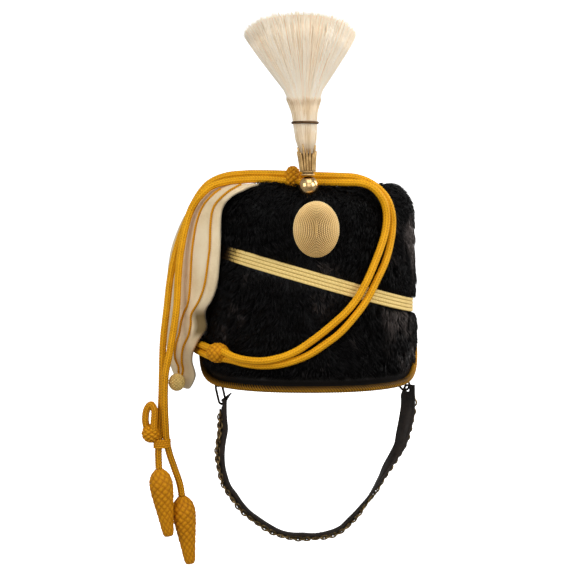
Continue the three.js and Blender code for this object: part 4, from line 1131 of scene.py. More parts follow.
def build_boss():
    """An oval dome of fine cord, laid ring beside ring round an upright line."""
    turn = circle(BOSS_POINTS)
    half_sizes = np.array([BOSS_HALF_WIDTH, BOSS_THICKNESS, BOSS_HALF_HEIGHT])
    low = np.clip(-np.sin(turn), 0, 1)
    rings = []
    shades = []
    for place in np.arange(0.25, BOSS_RINGS + 0.1, 0.25):
        share = place / BOSS_RINGS
        half_height = BOSS_SPINE + (BOSS_HALF_HEIGHT - BOSS_SPINE) * share
        rise = math.sqrt(1 - (BOSS_FLARE * share) ** 2)
        oval = np.stack([
            BOSS_HALF_WIDTH * share * np.cos(turn),
            -BOSS_THICKNESS * rise + 0 * turn,
            half_height * np.sin(turn),
        ], -1)
        step = np.linalg.norm(np.roll(oval, -1, axis=0) - oval, axis=1)
        run = np.append(0, np.cumsum(step[:-1]))
        stitches = max(round(step.sum() / BOSS_STITCH), 4)
        ring_number = math.ceil(place) - 1
        phase = stitches * run / step.sum() + 0.5 * ring_number + 0.35 * (place - ring_number)
        ridge = abs(math.sin(math.pi * place)) ** 0.6
        height = ridge * (0.35 + 0.65 * np.abs(np.sin(np.pi * phase)) ** 0.8)
        normal = unit(oval / half_sizes ** 2)
        rings.append(BOSS_CENTRE + oval - normal * (BOSS_RELIEF * (1 - height))[:, None])
        # Painted shade: in the hollows between the rings, most in the middle, and over the lower half that
        # low marks.
        shades.append(1 - (1 - height) * (1.3 - 0.85 * share) - 0.22 * low * share)
    edge = rings[-1] - BOSS_CENTRE
    # The rings at the back, against the fur, take a dark painted shade.
    for inward, depth in BOSS_BACK:
        rings.append(BOSS_CENTRE + edge * [inward, 1, inward] + [0, depth, 0])
        shades.append(np.full(len(turn), BOSS_BACK_SHADE))
    form = Form().loft(np.stack(rings, 0), np.stack(shades, 0))
    piece("corded_boss", form, BOSS_CORD, "straw_cord", "boss")


def turned_piece(name, profile, lean=0.0):
    """A round piece on the plume's foot: one circle, extruded and resized up its radii and heights."""
    bpy.ops.object.select_all(action="DESELECT")
    radius, height = profile[0]
    x, y, z = PLUME_FOOT
    place = [(x - lean * height) * MM, y * MM, (z + height) * MM]
    bpy.ops.mesh.primitive_circle_add(
        vertices=TURNED_SIDES, radius=radius * MM, location=place, fill_type="NGON"
    )
    made = bpy.context.object
    made.name = name
    bpy.ops.object.mode_set(mode="EDIT")
    bpy.ops.mesh.select_all(action="SELECT")
    for next_radius, next_height in profile[1:]:
        rise = next_height - height
        move = (-lean * rise * MM, 0, rise * MM)
        bpy.ops.mesh.extrude_region_move(TRANSFORM_OT_translate={"value": move})
        share = next_radius / radius
        middle = [(x - lean * next_height) * MM, y * MM, (z + next_height) * MM]
        bpy.ops.transform.resize(value=(share, share, 1), center_override=middle)
        radius, height = next_radius, next_height
    bpy.ops.mesh.select_all(action="SELECT")
    bpy.ops.mesh.normals_make_consistent(inside=False)
    bpy.ops.object.mode_set(mode="OBJECT")
    bpy.ops.object.transform_apply(location=True, rotation=True, scale=True)
    bpy.ops.object.shade_smooth_by_angle(angle=40 * DEGREE)
    return made


def collar(form, height, radius, wire):
    """A round moulding about the foot of the calyx."""
    turn = circle(TURNED_SIDES)
    angle = circle(10)
    reach = radius + wire / 2 * np.cos(angle)[None, :]
    x = PLUME_FOOT[0] - PLUME_LEAN * height + reach * np.cos(turn)[:, None]
    y = PLUME_FOOT[1] + reach * np.sin(turn)[:, None]
    z = PLUME_FOOT[2] + height + wire / 2 * np.sin(angle)[None, :] + 0 * x
    form.loft(np.stack([x, y, z], -1), joined=True)


def build_plume_mount():
    """The polished ball on its stem, and the calyx with its collars and gilt leaves."""
    ball = PLUME_BALL / 2
    stem = PLUME_STEM / 2
    low = -math.sqrt(ball ** 2 - stem ** 2)
    start = math.asin(low / ball)
    profile = [(stem * 0.6, -PLUME_STEM_LENGTH), (stem, -PLUME_STEM_LENGTH + 0.6), (stem, low)]
    for step in range(1, BALL_STEPS + 1):
        angle = start + (BALL_TOP - start) * step / BALL_STEPS
        profile.append((ball * math.cos(angle), ball * math.sin(angle)))
    settle(turned_piece("plume_ball_polished", profile), BRASS, "brass", "plume_ball")

    foot = ball + 0.3
    cup = [(radius, foot + height) for radius, height in CALYX_PROFILE]
    # The calyx is dark gilt, painted shade in the gaps between its leaves.
    calyx = turned_piece("plume_calyx", cup, PLUME_LEAN)
    settle(calyx, DARK_GILT, "old_gilt", "plume_socket")
    leaves = Form()
    for height, radius, wire in COLLARS:
        collar(leaves, foot + height, radius, wire)
    for reach, proud, offset in LEAF_ROWS:
        for number in range(LEAF_COUNT):
            sprout = 2 * math.sin(number * 2.4 + offset * 5)
            middle_turn = (number + offset) / LEAF_COUNT * FULL_TURN
            leaf(leaves, foot, middle_turn, reach + sprout, proud)
    piece("calyx_leaves", leaves, OLD_GILT, "old_gilt")


def leaf(form, foot, middle_turn, reach, proud):
    """One narrow pointed leaf that hugs the calyx, with a raised midrib."""
    along = np.linspace(0, 1, 15)[:, None]
    across = np.linspace(-1, 1, 9)[None, :]
    height = foot + LEAF_FOOT + (reach - LEAF_FOOT) * along
    cup = np.interp(height - foot, LEAF_HEIGHTS, LEAF_RADII)
    half_turn = LEAF_HALF_TURN * np.clip((1 - along) / 0.35, 0, 1) ** 0.6 + 0.01
    turn = middle_turn + half_turn * across
    rib = (1 - np.abs(across)) ** 1.1
    faces = []
    for thickness in (LEAF_THICKNESS, 0.0):
        radius = cup + proud + thickness + rib * (thickness > 0)
        x = PLUME_FOOT[0] - PLUME_LEAN * height + radius * np.cos(turn)
        y = PLUME_FOOT[1] + radius * np.sin(turn)
        faces.append(np.stack([x, y, PLUME_FOOT[2] + height + 0 * turn], -1))
    outer, inner = faces
    form.loft(np.concatenate([outer, inner[:, ::-1]], 1))


def plume_top(share, turn):
    """The height at which the fan's hairs end, lower towards its two sides."""
    return PLUME_CROWN - PLUME_DOME * np.abs(share * np.cos(turn)) ** PLUME_DOME_POWER


def plume_point(share, turn, height):
    """A point of the plume at a share of its radius."""
    radius = share * np.interp(height, PLUME_HEIGHTS, PLUME_RADII)
    flatness = np.interp(height, PLUME_SPREAD, PLUME_FLATNESS)
    return np.stack([
        PLUME_FOOT[0] - PLUME_LEAN * (height - PLUME_FOOT[2]) + radius * np.cos(turn),
        PLUME_FOOT[1] + radius * flatness * np.sin(turn),
        height + 0 * turn,
    ], -1)


def plume_tone(turn, middle, spread):
    """Shades for the plume's hairs: broad streaks, chance, and a few dull hairs."""
    broad = 0.16 * np.sin(turn * 5 + 1) * np.sin(turn * 11)
    tone = middle + broad + spread * (chance.random(len(turn)) - 0.5)
    return np.where(chance.random(len(turn)) < PLUME_DULL_SHARE, PLUME_DULL, tone)


def build_plume():
    """A bound bundle of hair that opens into a fan, over a core of packed hair, and its wire ring."""
    turn = circle(PLUME_CORE_COLUMNS)
    ridges = 1 - 0.03 * chance.random(PLUME_CORE_COLUMNS)
    core = []
    for climb in np.linspace(0, 1, PLUME_CORE_ROWS):
        height = PLUME_CORE_FOOT + (plume_top(PLUME_CORE, turn) - 4 - PLUME_CORE_FOOT) * climb
        core.append(plume_point(PLUME_CORE * ridges, turn, height))
    for share in PLUME_CORE_SHARES:
        core.append(plume_point(PLUME_CORE * share * ridges, turn, plume_top(PLUME_CORE * share, turn) - 3))
    # The core's top, seen between the hair tips, takes painted shade.
    lit = np.where(np.arange(len(core)) < PLUME_CORE_ROWS - 1, 1.0, PLUME_CORE_TOP_SHADE)[:, None]
    form = Form().loft(np.stack(core, 0), lit * plume_tone(turn, 0.7, 0.3))
    piece("plume_core", form, PLUME_HAIR, "plume_hair", "plume_hair")

    form = Form()
    share = EDGE_SHARE + EDGE_SPREAD * chance.random(LONG_HAIRS)
    turn = chance.random(LONG_HAIRS) * FULL_TURN
    low = LONG_FOOT + 5 * chance.random(LONG_HAIRS)
    top = plume_top(share, turn) + 1 - 6 * chance.random(LONG_HAIRS) ** 2
    hair_strands(form, share, turn, low, top, 7, 0.75)
    share = np.sqrt(chance.random(TIP_HAIRS))
    turn = chance.random(TIP_HAIRS) * FULL_TURN
    top = plume_top(share, turn) + 1.0 - 4 * chance.random(TIP_HAIRS)
    hair_strands(form, share, turn, top - TIP_LENGTH, top, 3, 1.0)
    share = EDGE_SHARE + EDGE_SPREAD * chance.random(BOUND_HAIRS)
    turn = chance.random(BOUND_HAIRS) * FULL_TURN
    low = np.full(BOUND_HAIRS, BOUND_FOOT)
    top = BOUND_TOP + 8 * chance.random(BOUND_HAIRS)
    hair_strands(form, share, turn, low, top, 5, 0.85, BOUND_FLARE, BOUND_PAINTED_SHADE)
    piece("plume_strands", form, PLUME_HAIR, "plume_hair")

    bpy.ops.object.select_all(action="DESELECT")
    bpy.ops.mesh.primitive_torus_add(
        major_radius=PLUME_RING_RADIUS * MM,
        minor_radius=PLUME_RING_WIRE / 2 * MM,
        major_segments=72,
        minor_segments=12,
        location=plume_point(0, 0.0, PLUME_RING_HEIGHT) * MM,
    )
    ring = bpy.context.object
    ring.name = "plume_wire_ring"
    bpy.ops.object.transform_apply(location=True, rotation=True, scale=True)
    bpy.ops.object.shade_smooth()
    settle(ring, RING_BRONZE, "dark_wire", "plume_ring")


def hair_strands(form, share, turn, low, top, rows, width, flare=0.0, painted_darkening=0.0):
    """Adds hairs of the plume. Each drifts a little, a flare lets the bound hairs stand out, and
    painted_darkening gives hairs painted shade.
    """
    steps = np.linspace(0, 1, rows)
    height = low[:, None] + (top - low)[:, None] * steps
    drift = (chance.random((2, len(share))) - 0.5) * [[0.1], [0.05]]
    bend = np.clip((height - BEND_FROM) / BEND_OVER, 0, 1) ** 1.5
    turns = turn[:, None] + drift[0][:, None] * bend * 2
    flared = flare * np.clip((height - FLARE_FROM) / FLARE_OVER, 0, 1) ** 2
    shares = share[:, None] * (1 + drift[1][:, None] * bend + flared)
    centres = plume_point(shares, turns, height)
    normals = np.stack([np.cos(turn), np.sin(turn), 0 * turn], -1)
    taper = np.interp(steps, [0, 0.3, 0.9, 1], [0.6, 0.9, 1.1, 0.25])
    widths = width * (0.7 + 0.6 * chance.random(len(share)))
    tone = plume_tone(turn, 0.72 - painted_darkening, 0.4)
    strands(form, centres, normals, widths, taper, np.repeat(tone[:, None], rows, 1))


def line_cord(points):
    """The cap lines' cord along a route: its path, its rings and the height of its relief."""
    path = smooth_route(points, LINE_STEP)
    braid = braid_relief(**LINE_BRAID)
    rings, height = cord_rings(path, LINE + LINE_PROUD, LINE_SIDES, braid, LINE_RELIEF)
    return path, rings, height


def build_cap_lines():
    """The two braided cords, with painted shade where they hang low beside the bag."""
    made = {}
    for letter, route in (("a", LINE_A), ("b", LINE_B)):
        path, rings, height = line_cord(route)
        # Painted shade darkens the lines low on the left, beside the bag.
        painted_shade = np.clip((LINE_SHADED_BELOW - path[:, 2:]) / LINE_SHADED_OVER, 0, 1)
        painted_shade = painted_shade * (path[:, :1] < LINE_SHADED_LEFT_OF)
        form = Form().loft(rings, height * (1 - 0.25 * painted_shade) - 0.1 * painted_shade)
        made[letter] = piece(f"braided_line_{letter}", form, GOLD_CORD, "gold_cord", f"cap_line_{letter}")
        made[letter + "_path"] = path
    return made


def cord_wrap(form):
    """A tight winding of cord round both cap lines below the slide knot."""
    coils = round((WRAP_TOP - WRAP_FOOT) / WRAP_CORD)
    t = np.linspace(0, coils * FULL_TURN, coils * 60)
    path = np.stack([
        WRAP_CENTRE[0] + WRAP_HALF_WIDTH * np.cos(t),
        WRAP_CENTRE[1] + WRAP_HALF_DEPTH * np.sin(t),
        WRAP_FOOT + (WRAP_TOP - WRAP_FOOT) * t / t[-1],
    ], -1)
    rings, height = cord_rings(evenly(path, 0.7), WRAP_CORD, 8, twist_relief(2, 4.2), WRAP_CORD * 0.08)
    form.loft(rings, height)


def wound_ball(centre, size, axis, cells, pitch, depth):
    """An oval ball covered with plaited cord, its axis along x or z."""
    angle = np.linspace(-KNOT_END, KNOT_END, KNOT_ROWS)
    turns = np.arange(KNOT_COLUMNS) / KNOT_COLUMNS
    half = np.array(size) / 2
    order = {"x": [2, 0, 1], "z": [0, 1, 2]}[axis]
    run = (angle * half.mean())[:, None]
    height = strand_relief(cells, pitch)(turns[None, :] + 0 * run, run)
    lift, turn = angle[:, None], turns[None, :] * FULL_TURN
    level = np.cos(lift)
    local = np.stack([level * np.cos(turn), level * np.sin(turn), np.sin(lift) + 0 * turn], -1)[..., order]
    sunk = depth * (1 - height) * np.clip(level * 1.5, 0, 1)
    rings = np.array(centre) + local * half - unit(local / half) * sunk[..., None]
    return Form().loft(rings, KNOT_SHADE + KNOT_SHADE_RISE * height)


def build_knots():
    """The knots of the cap lines and the knob on the bag's tip."""
    ball, top, slide, knob = (wound_ball(**knot) for knot in (BALL_KNOT, TOP_KNOT, SLIDE_KNOT, BAG_KNOB))
    _, rings, height = line_cord(SLIDE_LOOP)
    slide.loft(rings, height)
    cord_wrap(slide)
    return {
        "ball": piece("woven_ball_knot", ball, SHADED_GOLD_CORD, "gold_cord", "ball_knot"),
        "top": piece("woven_top_knot", top, SHADED_GOLD_CORD, "gold_cord", "top_knot"),
        "slide": piece("woven_slide_knot", slide, SHADED_GOLD_CORD, "gold_cord", "slide_knot"),
        "knob": piece("woven_bag_knob", knob, STRAW_CORD, "straw_cord", "bag_knob"),
    }


def stem_tuft(form):
    """Fur that stands up round the stem between the ball and the boss."""
    turn = chance.random(TUFT_HAIRS) * FULL_TURN
    root_reach = 2.2 + 2.6 * chance.random(TUFT_HAIRS)
    tip_reach = root_reach + 0.5 + 3.5 * chance.random(TUFT_HAIRS)
    low = TUFT_FOOT + 6 * chance.random(TUFT_HAIRS)
    high = low + 6 + 3 * chance.random(TUFT_HAIRS)
    steps = np.array([0, 0.55, 1.0])
    reach = root_reach[:, None] + (tip_reach - root_reach)[:, None] * steps ** 2
    lean = turn[:, None] + 0.5 * (chance.random(TUFT_HAIRS) - 0.5)[:, None] * steps
    height = low[:, None] + (high - low)[:, None] * np.sin(steps * 75 * DEGREE)
    centres = np.stack([
        PLUME_FOOT[0] + reach * np.cos(lean),
        PLUME_FOOT[1] + 2 + reach * np.sin(lean),
        height,
    ], -1)
    normals = np.stack([np.cos(turn), np.sin(turn), 0 * turn], -1)
    # Painted shade darkens these hairs towards their roots, and they are half as light as the other hairs.
    shade = chance.random(TUFT_HAIRS)[:, None] * HAIR_SHADES / 2
    width = HAIR_WIDTH * (0.8 + 0.6 * chance.random(TUFT_HAIRS))
    strands(form, centres, normals, width, HAIR_TAPER, shade)


def tassel(name, ends, node):
    """A carrot-shaped tassel plaited over a core, its stitches in relief."""
    top, foot = (np.array(ends[key], float) for key in ("top", "foot"))
    down = unit(foot - top)
    side = unit(np.cross([0.0, 1.0, 0.0], down))
    back = np.cross(down, side)
    along = np.linspace(0, 1, TASSEL_ROWS)
    radius = np.interp(along, TASSEL_SHARES, TASSEL_RADII)
    for _ in range(3):
        radius[1:-1] = (radius[:-2] + 2 * radius[1:-1] + radius[2:]) / 4
    radius = radius[:, None]
    turns = np.arange(TASSEL_COLUMNS) / TASSEL_COLUMNS
    run = (along * np.linalg.norm(foot - top))[:, None]
    height = strand_relief(TASSEL_CELLS, TASSEL_PITCH)(turns[None, :] + 0.04 * np.sin(run / 9), run)
    proud = radius + TASSEL_PROUD - TASSEL_RELIEF * (1 - height) * np.clip(radius / 8, 0.4, 1)
    around = ways_round(turns * FULL_TURN, side, back)
    rings = top + along[:, None, None] * (foot - top) + proud[..., None] * around
    form = Form().loft(rings, TASSEL_SHADE + TASSEL_SHADE_RISE * height)
    return piece(name, form, SHADED_GOLD_CORD, "gold_cord", node)


def between_rows(values, place):
    """Values that pass smoothly through those of the bag's rows."""
    values = np.array(values, float)
    first = np.clip(np.floor(place).astype(int), 0, len(values) - 2)
    f = place - first
    if values.ndim > 1:
        f = f[..., None]
    p0 = values[np.maximum(first - 1, 0)]
    p1 = values[first]
    p2 = values[first + 1]
    p3 = values[np.minimum(first + 2, len(values) - 1)]
    return p1 + 0.5 * f * (p2 - p0 + f * (2 * p0 - 5 * p1 + 4 * p2 - p3 + f * (3 * (p1 - p2) + p3 - p0)))


def bag_values(key, place):
    """One kind of value of the bag's rows, between them."""
    return between_rows([row.get(key, 0) for row in BAG_ROWS], place)


def foot_closing(place):
    """How far the bag's foot is still open, so that it ends in a rounded lobe."""
    return np.sqrt(np.clip(1 - (np.clip(place - FOOT_ROW, 0, None) / FOOT_ROWS) ** 2, 0, 1))


def tucked(place, angle):
    """The deep fold where the bag's front edge tucks under."""
    across = np.clip((TUCK_ANGLE - 1.5 * np.abs(place - TUCK_ROW) - angle) / 4, 0, 1)
    return across ** 2 * (3 - 2 * across) * np.exp(-((place - TUCK_ROW) / TUCK_REACH) ** 4)


def bag_surface(place, angle):
    """Points of the bag's outer cloth and their outward directions. place counts the rows."""
    place, angle = np.broadcast_arrays(np.asarray(place, float), np.asarray(angle, float))
    front, rear, bulge = (bag_values(key, place) for key in ("front", "rear", "bulge"))
    edge = np.where((angle < 90)[..., None], front, rear)
    down = np.clip(bag_values("down", place), 0, 1)[..., None]
    s, c = np.sin(angle * DEGREE), np.abs(np.cos(angle * DEGREE))
    points = np.stack([
        edge[..., 0] + (bulge[..., 0] - edge[..., 0]) * s,
        bulge[..., 1] + (edge[..., 1] - bulge[..., 1]) * c,
        bulge[..., 2] + (edge[..., 2] - bulge[..., 2]) * c,
    ], -1)
    outward = unit(unit(points * [1, 1, 0]) * (1 - down) + np.array([0, 0, 1]) * down)
    middle = (front + rear) / 2
    closing = foot_closing(place)[..., None]
    points = np.concatenate([(middle + (points - middle) * closing)[..., :2], points[..., 2:]], -1)
    hang = np.clip((place - 4) / 4, 0, 1) * np.clip((15.2 - place) / 2, 0, 1)
    folds = BROAD_FOLD_DEPTH * np.sin(angle * DEGREE * BROAD_FOLDS + 0.5 * np.sin(place * 0.8)) * s ** 0.5
    folds += NARROW_FOLD_DEPTH * np.sin(angle * DEGREE * NARROW_FOLDS + 1.3 * np.sin(place * 0.55 + 1))
    lobes = LOBES_DEPTH * np.sin(place * 3.5 + angle / 15 + 1.2 * np.sin(place * 1.7 + angle / 24))
    lobes = lobes * np.exp(-((place - LOBES_ROW) / LOBES_REACH) ** 2) * c ** 0.5
    ripple = RIPPLE_DEPTH * np.sin(place * 2.7 + angle / 19) * np.sin(angle / 31 + 2)
    relief = (folds + ripple + lobes) * hang - TUCK_DEPTH * tucked(place, angle)
    return points + outward * relief[..., None], outward


def clear_of_fur(points):
    """Points moved out of the form that the fur keeps for itself."""
    turn = np.arctan2(points[..., 0], -points[..., 1])
    top = CAP_HEIGHT - BAG_PRESS * bag_share(turn)
    z = points[..., 2]
    allowed = np.interp(z - top, FUR_CORNER_HEIGHTS, FUR_CORNER_DEPTHS)
    wall = outline(turn, np.minimum(z, CAP_HEIGHT), allowed)
    out_now = np.hypot(points[..., 0], points[..., 1])
    out_least = np.hypot(wall[..., 0], wall[..., 1])
    push = np.clip(out_least - out_now, 0, FUR_CORNER_PUSH) * (z < top - 1)
    way = unit(points * [1, 1, 0])
    return points + way * push[..., None]


def build_bag():
    """A cloth bag sewn to the crown, with soft folds and two pipings."""
    places = np.linspace(0, len(BAG_ROWS) - 1, BAG_PLACES)
    angles = np.concatenate([
        np.linspace(0, 20, 12, endpoint=False),
        np.linspace(20, 160, 52, endpoint=False),
        np.linspace(160, 180, 9),
    ])
    outer, outward = bag_surface(places[:, None], angles[None, :])
    thick = bag_values("thick", places)[:, None]
    depth = BAG_EDGE + np.maximum(thick - BAG_EDGE, -0.6) * np.sin(angles * DEGREE)[None, :]
    depth = depth * np.maximum(foot_closing(places), 0.3)[:, None]
    inner = clear_of_fur(outer - outward * depth[..., None])
    rear_edge = ((outer[:, -1] + inner[:, -1]) / 2)[:, None]
    # Painted shadow in the tucked fold and painted shade towards the foot, stored as a lower shade.
    painted_shade = TUCK_SHADOW * tucked(places[:, None], angles[None, :])
    painted_shade = painted_shade + FOOT_SHADE * np.clip((places - 9) / 6, 0, 1)[:, None] * (0.6 + 0.4 * np.sin(angles / 9))
    unshaded = 1 - np.clip(painted_shade, 0, 0.9)
    shade = np.concatenate([unshaded, unshaded[:, -1:], unshaded[:, ::-1]], 1)
    form = Form().loft(np.concatenate([outer, rear_edge, inner[:, ::-1]], 1), shade)
    bag = piece("cloth_bag", form, BAG_CLOTH, "bag_cloth", "bag")
    trims = []
    for number, piping in enumerate(PIPINGS, 1):
        run = np.linspace(piping["first_row"], len(BAG_ROWS) - PIPING_END, 400)
        points, out = bag_surface(run, np.interp(run, PIPING_ROWS, piping["angles"]))
        path = evenly(points + out * (PIPING * PIPING_SEAT), PIPING_STEP)
        twist = twist_relief(2, PIPING_LAY)
        rings, height = cord_rings(path, PIPING, PIPING_SIDES, twist, PIPING_RELIEF)
        name = f"bag_piping_{number}"
        trims.append(piece(f"corded_{name}", Form().loft(rings, height), SHADED_GOLD_CORD, "gold_cord", name))
    return bag, trims


def strap_stations(lift, along):
    """Points on the strap, lifted off its middle, with its forward, outward and sideways directions."""
    path = smooth_route(STRAP_ROUTE, STRAP_STEP)
    ways = headings(path)
    share = np.linspace(0, 1, len(path))
    point = np.stack([np.interp(along, share, path[:, k]) for k in range(3)], -1)
    ahead = unit(np.stack([np.interp(along, share, ways[:, k]) for k in range(3)], -1))
    t = np.clip((along - TWIST_START) / (TWIST_END - TWIST_START), 0, 1)
    tilt = (STRAP_TILT + (STRAP_END_TILT - STRAP_TILT) * t * t * (3 - 2 * t))[:, None]
    out = unit(np.cross(ahead, [0.0, -1.0, 0.0]))
    out = out * np.cos(tilt) + np.cross(ahead, out) * np.sin(tilt)
    return point + out * lift, ahead, out, np.cross(ahead, out)


def build_strap():
    """The leather strap, a little crumpled, with a cut corner at one end and a lifted one at the other."""
    along = np.linspace(0, 1, STRAP_ROWS)
    run = (along * STRAP_LENGTH)[:, None]
    point, _, out, side = strap_stations(0, along)
    section = np.array(STRAP_SECTION)
    across = np.repeat(section[None, :, 0], len(along), 0)
    crumple = 0.4 * np.sin(run / 5.1) + 0.3 * np.sin(run / 8.3 + 1) + 0.2 * np.sin(run / 2.9 + 2)
    across = across * (1 - 0.04 * (1 + np.sin(run / 6.7 + 0.5 * np.sin(run / 13))))
    corner = np.clip((run - STRAP_LENGTH + STRAP_CORNER) / STRAP_CORNER, 0, 1)
    across = across * np.where(across > 0, 1 - STRAP_CORNER_CUT * corner, 1)
    flap = np.clip(1 - run / STRAP_FLAP, 0, 1) ** 1.5 * np.clip(across / (STRAP_WIDTH / 2), 0, 1)
    rise = section[None, :, 1] + crumple * (0.4 + 0.6 * np.cos(across / 6 + run / 11))
    rings = point[:, None] + side[:, None] * across[..., None] + out[:, None] * rise[..., None]
    rings = rings + flap[..., None] * STRAP_FLAP_LIFT
    strap = piece("leather_chin_strap", Form().loft(rings), STRAP_LEATHER, "strap_leather", "chin_strap")
    for end in (STRAP_HOLE_SETBACK / STRAP_LENGTH, 1 - STRAP_HOLE_SETBACK / STRAP_LENGTH):
        punch(strap, end)
    stitches = Form()
    for line in (-STITCH_LINE, STITCH_LINE):
        for face in (-STITCH_FACE, STITCH_FACE):
            for mark in np.arange(STITCH_MARGIN, STRAP_LENGTH - STITCH_MARGIN, STITCH_PITCH):
                stitch(stitches, mark, line, face)
    piece("strap_stitches", stitches, STITCH_THREAD, "strap_leather")


def punch(strap, share):
    """Cuts a round hole through the strap at a share of its length."""
    point, _, out, _ = strap_stations(0, np.array([share]))
    bpy.ops.object.select_all(action="DESELECT")
    bpy.ops.mesh.primitive_cylinder_add(
        vertices=32, radius=STRAP_HOLE / 2 * MM, depth=8 * MM, location=point[0] * MM
    )
    drill = bpy.context.object
    drill.rotation_mode = "QUATERNION"
    drill.rotation_quaternion = Vector(out[0]).to_track_quat("Z", "Y")
    bpy.ops.object.select_all(action="DESELECT")
    strap.select_set(True)
    bpy.context.view_layer.objects.active = strap
    cut = strap.modifiers.new("hole", "BOOLEAN")
    cut.object = drill
    cut.operation = "DIFFERENCE"
    cut.solver = "EXACT"
    bpy.ops.object.modifier_apply(modifier="hole")
    bpy.data.objects.remove(drill)


def stitch(form, mark, line, face):
    """One small stitch that lies in the groove along the strap's edge."""
    half = STITCH_PITCH * STITCH_SHARE
    ends = np.array([mark - half, mark - half * 0.4, mark + half * 0.4, mark + half]) / STRAP_LENGTH
    point, _, out, side = strap_stations(0, ends)
    path = point + side * line + out * face * np.array(STITCH_RISES)[:, None]
    around = ways_round(circle(5), side[:, None], out[:, None])
    form.loft(path[:, None] + around * np.array(STITCH_RADII)[:, None, None])


def oval_link(form, centre, ahead, across, half_length, half_width, wire):
    """One closed oval link of wire."""
    turn = circle(14)[:, None]
    route = centre + np.cos(turn) * ahead * half_length + np.sin(turn) * across * half_width
    away = unit(np.cos(turn) * ahead / half_length + np.sin(turn) * across / half_width)
    around = ways_round(circle(8), away[:, None], np.cross(ahead, across))
    form.loft(route[:, None] + around * wire / 2, joined=True)


def build_chain():
    """Interlinked oval rings along the outer face of the strap."""
    form = Form()
    share = CHAIN_END - CHAIN_START
    count = round(STRAP_LENGTH * share / CHAIN_PITCH)
    along = CHAIN_START + (np.arange(count) + 0.5) / count * share
    point, ahead, out, side = strap_stations(CHAIN_LIFT, along)
    shift = np.interp(along, CHAIN_SHARES, CHAIN_OFFSETS)
    for number in range(count):
        tilt = (CHAIN_TILT if number % 2 else -CHAIN_TILT) + 0.25 * math.sin(number * 2.3)
        across = side[number] * math.cos(tilt) + out[number] * math.sin(tilt)
        middle = point[number] + side[number] * shift[number]
        oval_link(form, middle, ahead[number], across, **CHAIN_LINK)
    piece("linked_chin_chain", form, CHAIN_BRASS, "brass", "chin_chain")


def wire_loop(start, end, width, spin):
    """A closed loop of wire whose long way runs from one point to another."""
    long = end - start
    straight = max(np.linalg.norm(long) / 2 - width / 2, 0)
    ahead = unit(long)
    side = unit(np.cross(ahead, [0.0, -1.0, 0.0]))
    side = side * math.cos(spin) + np.cross(ahead, side) * math.sin(spin)
    turn = circle(48)[:, None]
    away = np.cos(turn) * ahead + np.sin(turn) * side
    straightened = np.sign(np.round(np.cos(turn), 6)) * ahead * straight
    route = (start + end) / 2 + straightened + away * width / 2
    around = ways_round(circle(10), away[:, None], np.cross(ahead, side))
    return Form().loft(route[:, None] + around * WIRE / 2, joined=True)


def build_strap_wires():
    """The ring and the two loops that join the strap to the tabs inside the rim."""
    left_tab = outline(-TAB_TURN, TAB_HOLE_HEIGHT, TAB_MIDDLE)
    right_tab = outline(TAB_TURN, TAB_HOLE_HEIGHT, TAB_MIDDLE)
    setback = STRAP_HOLE_SETBACK / STRAP_LENGTH
    left_hole, right_hole = strap_stations(0, np.array([setback, 1 - setback]))[0]
    ring_foot = left_tab - [0, 0, LEFT_RING]
    left_link = ring_foot + [0, 0, LEFT_LINK_LAP]
    loops = {
        "strap_ring_left": wire_loop(left_tab, ring_foot, LEFT_RING, 15 * DEGREE),
        "strap_link_left": wire_loop(left_link, left_hole, LEFT_LINK, -30 * DEGREE),
        "strap_link_right": wire_loop(right_tab, right_hole, RIGHT_LINK, -13 * DEGREE),
    }
    for node, form in loops.items():
        piece(f"{node}_wire", form, DARK_WIRE, "dark_wire", node)


def finish_kept_nodes():
    """Better finishes for the CAD nodes that stay."""
    finishes = {
        "body_shell": SHELL_LEATHER,
        "strap_tab_left": STRAP_LEATHER,
        "strap_tab_right": STRAP_LEATHER,
        "line_anchor": STRAP_LEATHER,
        "crown_cloth": CROWN_CLOTH,
    }
    for node, finish in finishes.items():
        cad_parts[node].material_slots[0].material = finish


def paper_backdrop(made, name, paper):
    """Gives a backdrop its paper, and keeps its light off the cap."""
    made.name = name
    made.data.materials.append(paper.material)
    made.visible_diffuse = False
    made.visible_glossy = False


def place_facing(name, data, place):
    """A lamp or a camera that looks at the camera's target."""
    made = bpy.data.objects.new(name, data)
    bpy.context.scene.collection.objects.link(made)
    made.location = place
    made.rotation_mode = "QUATERNION"
    made.rotation_quaternion = (CAMERA_TARGET - Vector(place)).to_track_quat("-Z", "Y")
    return made


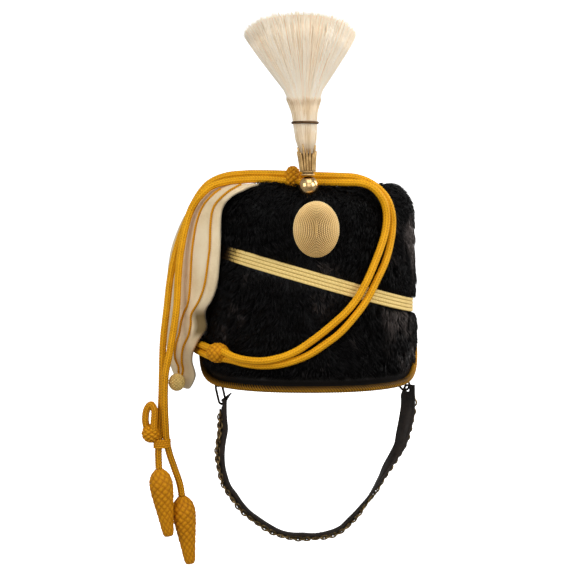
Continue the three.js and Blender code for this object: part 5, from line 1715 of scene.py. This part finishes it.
def build_studio():
    """A pale floor that curves up into a backdrop, a round wall, soft boxes and the camera."""
    paper = Finish("studio_paper", roughness=0.9, emission_strength=1.0)
    paper.colour(PAPER_WHITE)
    bpy.ops.object.select_all(action="DESELECT")
    bpy.ops.mesh.primitive_plane_add(size=FLOOR_SIZE, location=(0, FLOOR_MIDDLE, FLOOR_LEVEL * MM))
    floor = bpy.context.object
    bpy.ops.object.mode_set(mode="EDIT")
    bpy.ops.mesh.select_all(action="DESELECT")
    bpy.ops.mesh.select_mode(type="EDGE")
    bpy.ops.object.mode_set(mode="OBJECT")
    for edge in floor.data.edges:
        ends = [floor.data.vertices[k].co.y for k in edge.vertices]
        edge.select = min(ends) > FLOOR_SIZE / 2 - 0.1
    bpy.ops.object.mode_set(mode="EDIT")
    for step in range(1, FLOOR_CURVE_STEPS + 1):
        angle = step / FLOOR_CURVE_STEPS * 90 * DEGREE
        move = (0, FLOOR_CURVE * math.cos(angle), FLOOR_CURVE * math.sin(angle))
        bpy.ops.mesh.extrude_region_move(TRANSFORM_OT_translate={"value": move})
    bpy.ops.mesh.extrude_region_move(TRANSFORM_OT_translate={"value": (0, 0, BACKDROP_HEIGHT)})
    bpy.ops.object.mode_set(mode="OBJECT")
    bpy.ops.object.shade_smooth()
    paper_backdrop(floor, "studio_floor", paper)
    bpy.ops.object.select_all(action="DESELECT")
    bpy.ops.mesh.primitive_cylinder_add(
        vertices=96,
        radius=WALL_RADIUS,
        depth=WALL_HEIGHT,
        end_fill_type="NOTHING",
        location=(0, FLOOR_MIDDLE, FLOOR_LEVEL * MM + WALL_HEIGHT / 2),
    )
    wall = bpy.context.object
    paper_backdrop(wall, "studio_wall", paper)
    wall.visible_shadow = False

    world = bpy.data.worlds.new("studio")
    world.use_nodes = True
    sky = world.node_tree.nodes["Background"]
    sky.inputs["Color"].default_value = (1, 1, 1, 1)
    sky.inputs["Strength"].default_value = SKY_STRENGTH
    bpy.context.scene.world = world
    bpy.context.scene.view_settings.view_transform = "Standard"
    for name, place, size, power in SOFT_BOXES:
        lamp = bpy.data.lights.new(name, "AREA")
        lamp.size = size
        lamp.energy = power
        place_facing(name, lamp, place)

    camera = bpy.data.cameras.new("camera")
    camera.lens = LENS
    camera.sensor_width = SENSOR
    bpy.context.scene.camera = place_facing("camera", camera, CAMERA)


build_studio()
lines = build_cap_lines()
knots = build_knots()
tassel_a = tassel("woven_tassel_a", TASSEL_A, "tassel_a")
tassel_b = tassel("woven_tassel_b", TASSEL_B, "tassel_b")
for letter, length, on_it in (
    ("a", LINE_A_LENGTH, [knots["ball"], knots["top"], knots["slide"], tassel_a]),
    ("b", LINE_B_LENGTH, [tassel_b]),
):
    path = lines[letter + "_path"] * MM
    length * MM
build_linings()
build_pelt()
build_fur()
build_band()
build_boss()
build_plume_mount()
build_plume()
bag, trims = build_bag()
build_strap()
build_chain()
build_strap_wires()
finish_kept_nodes()
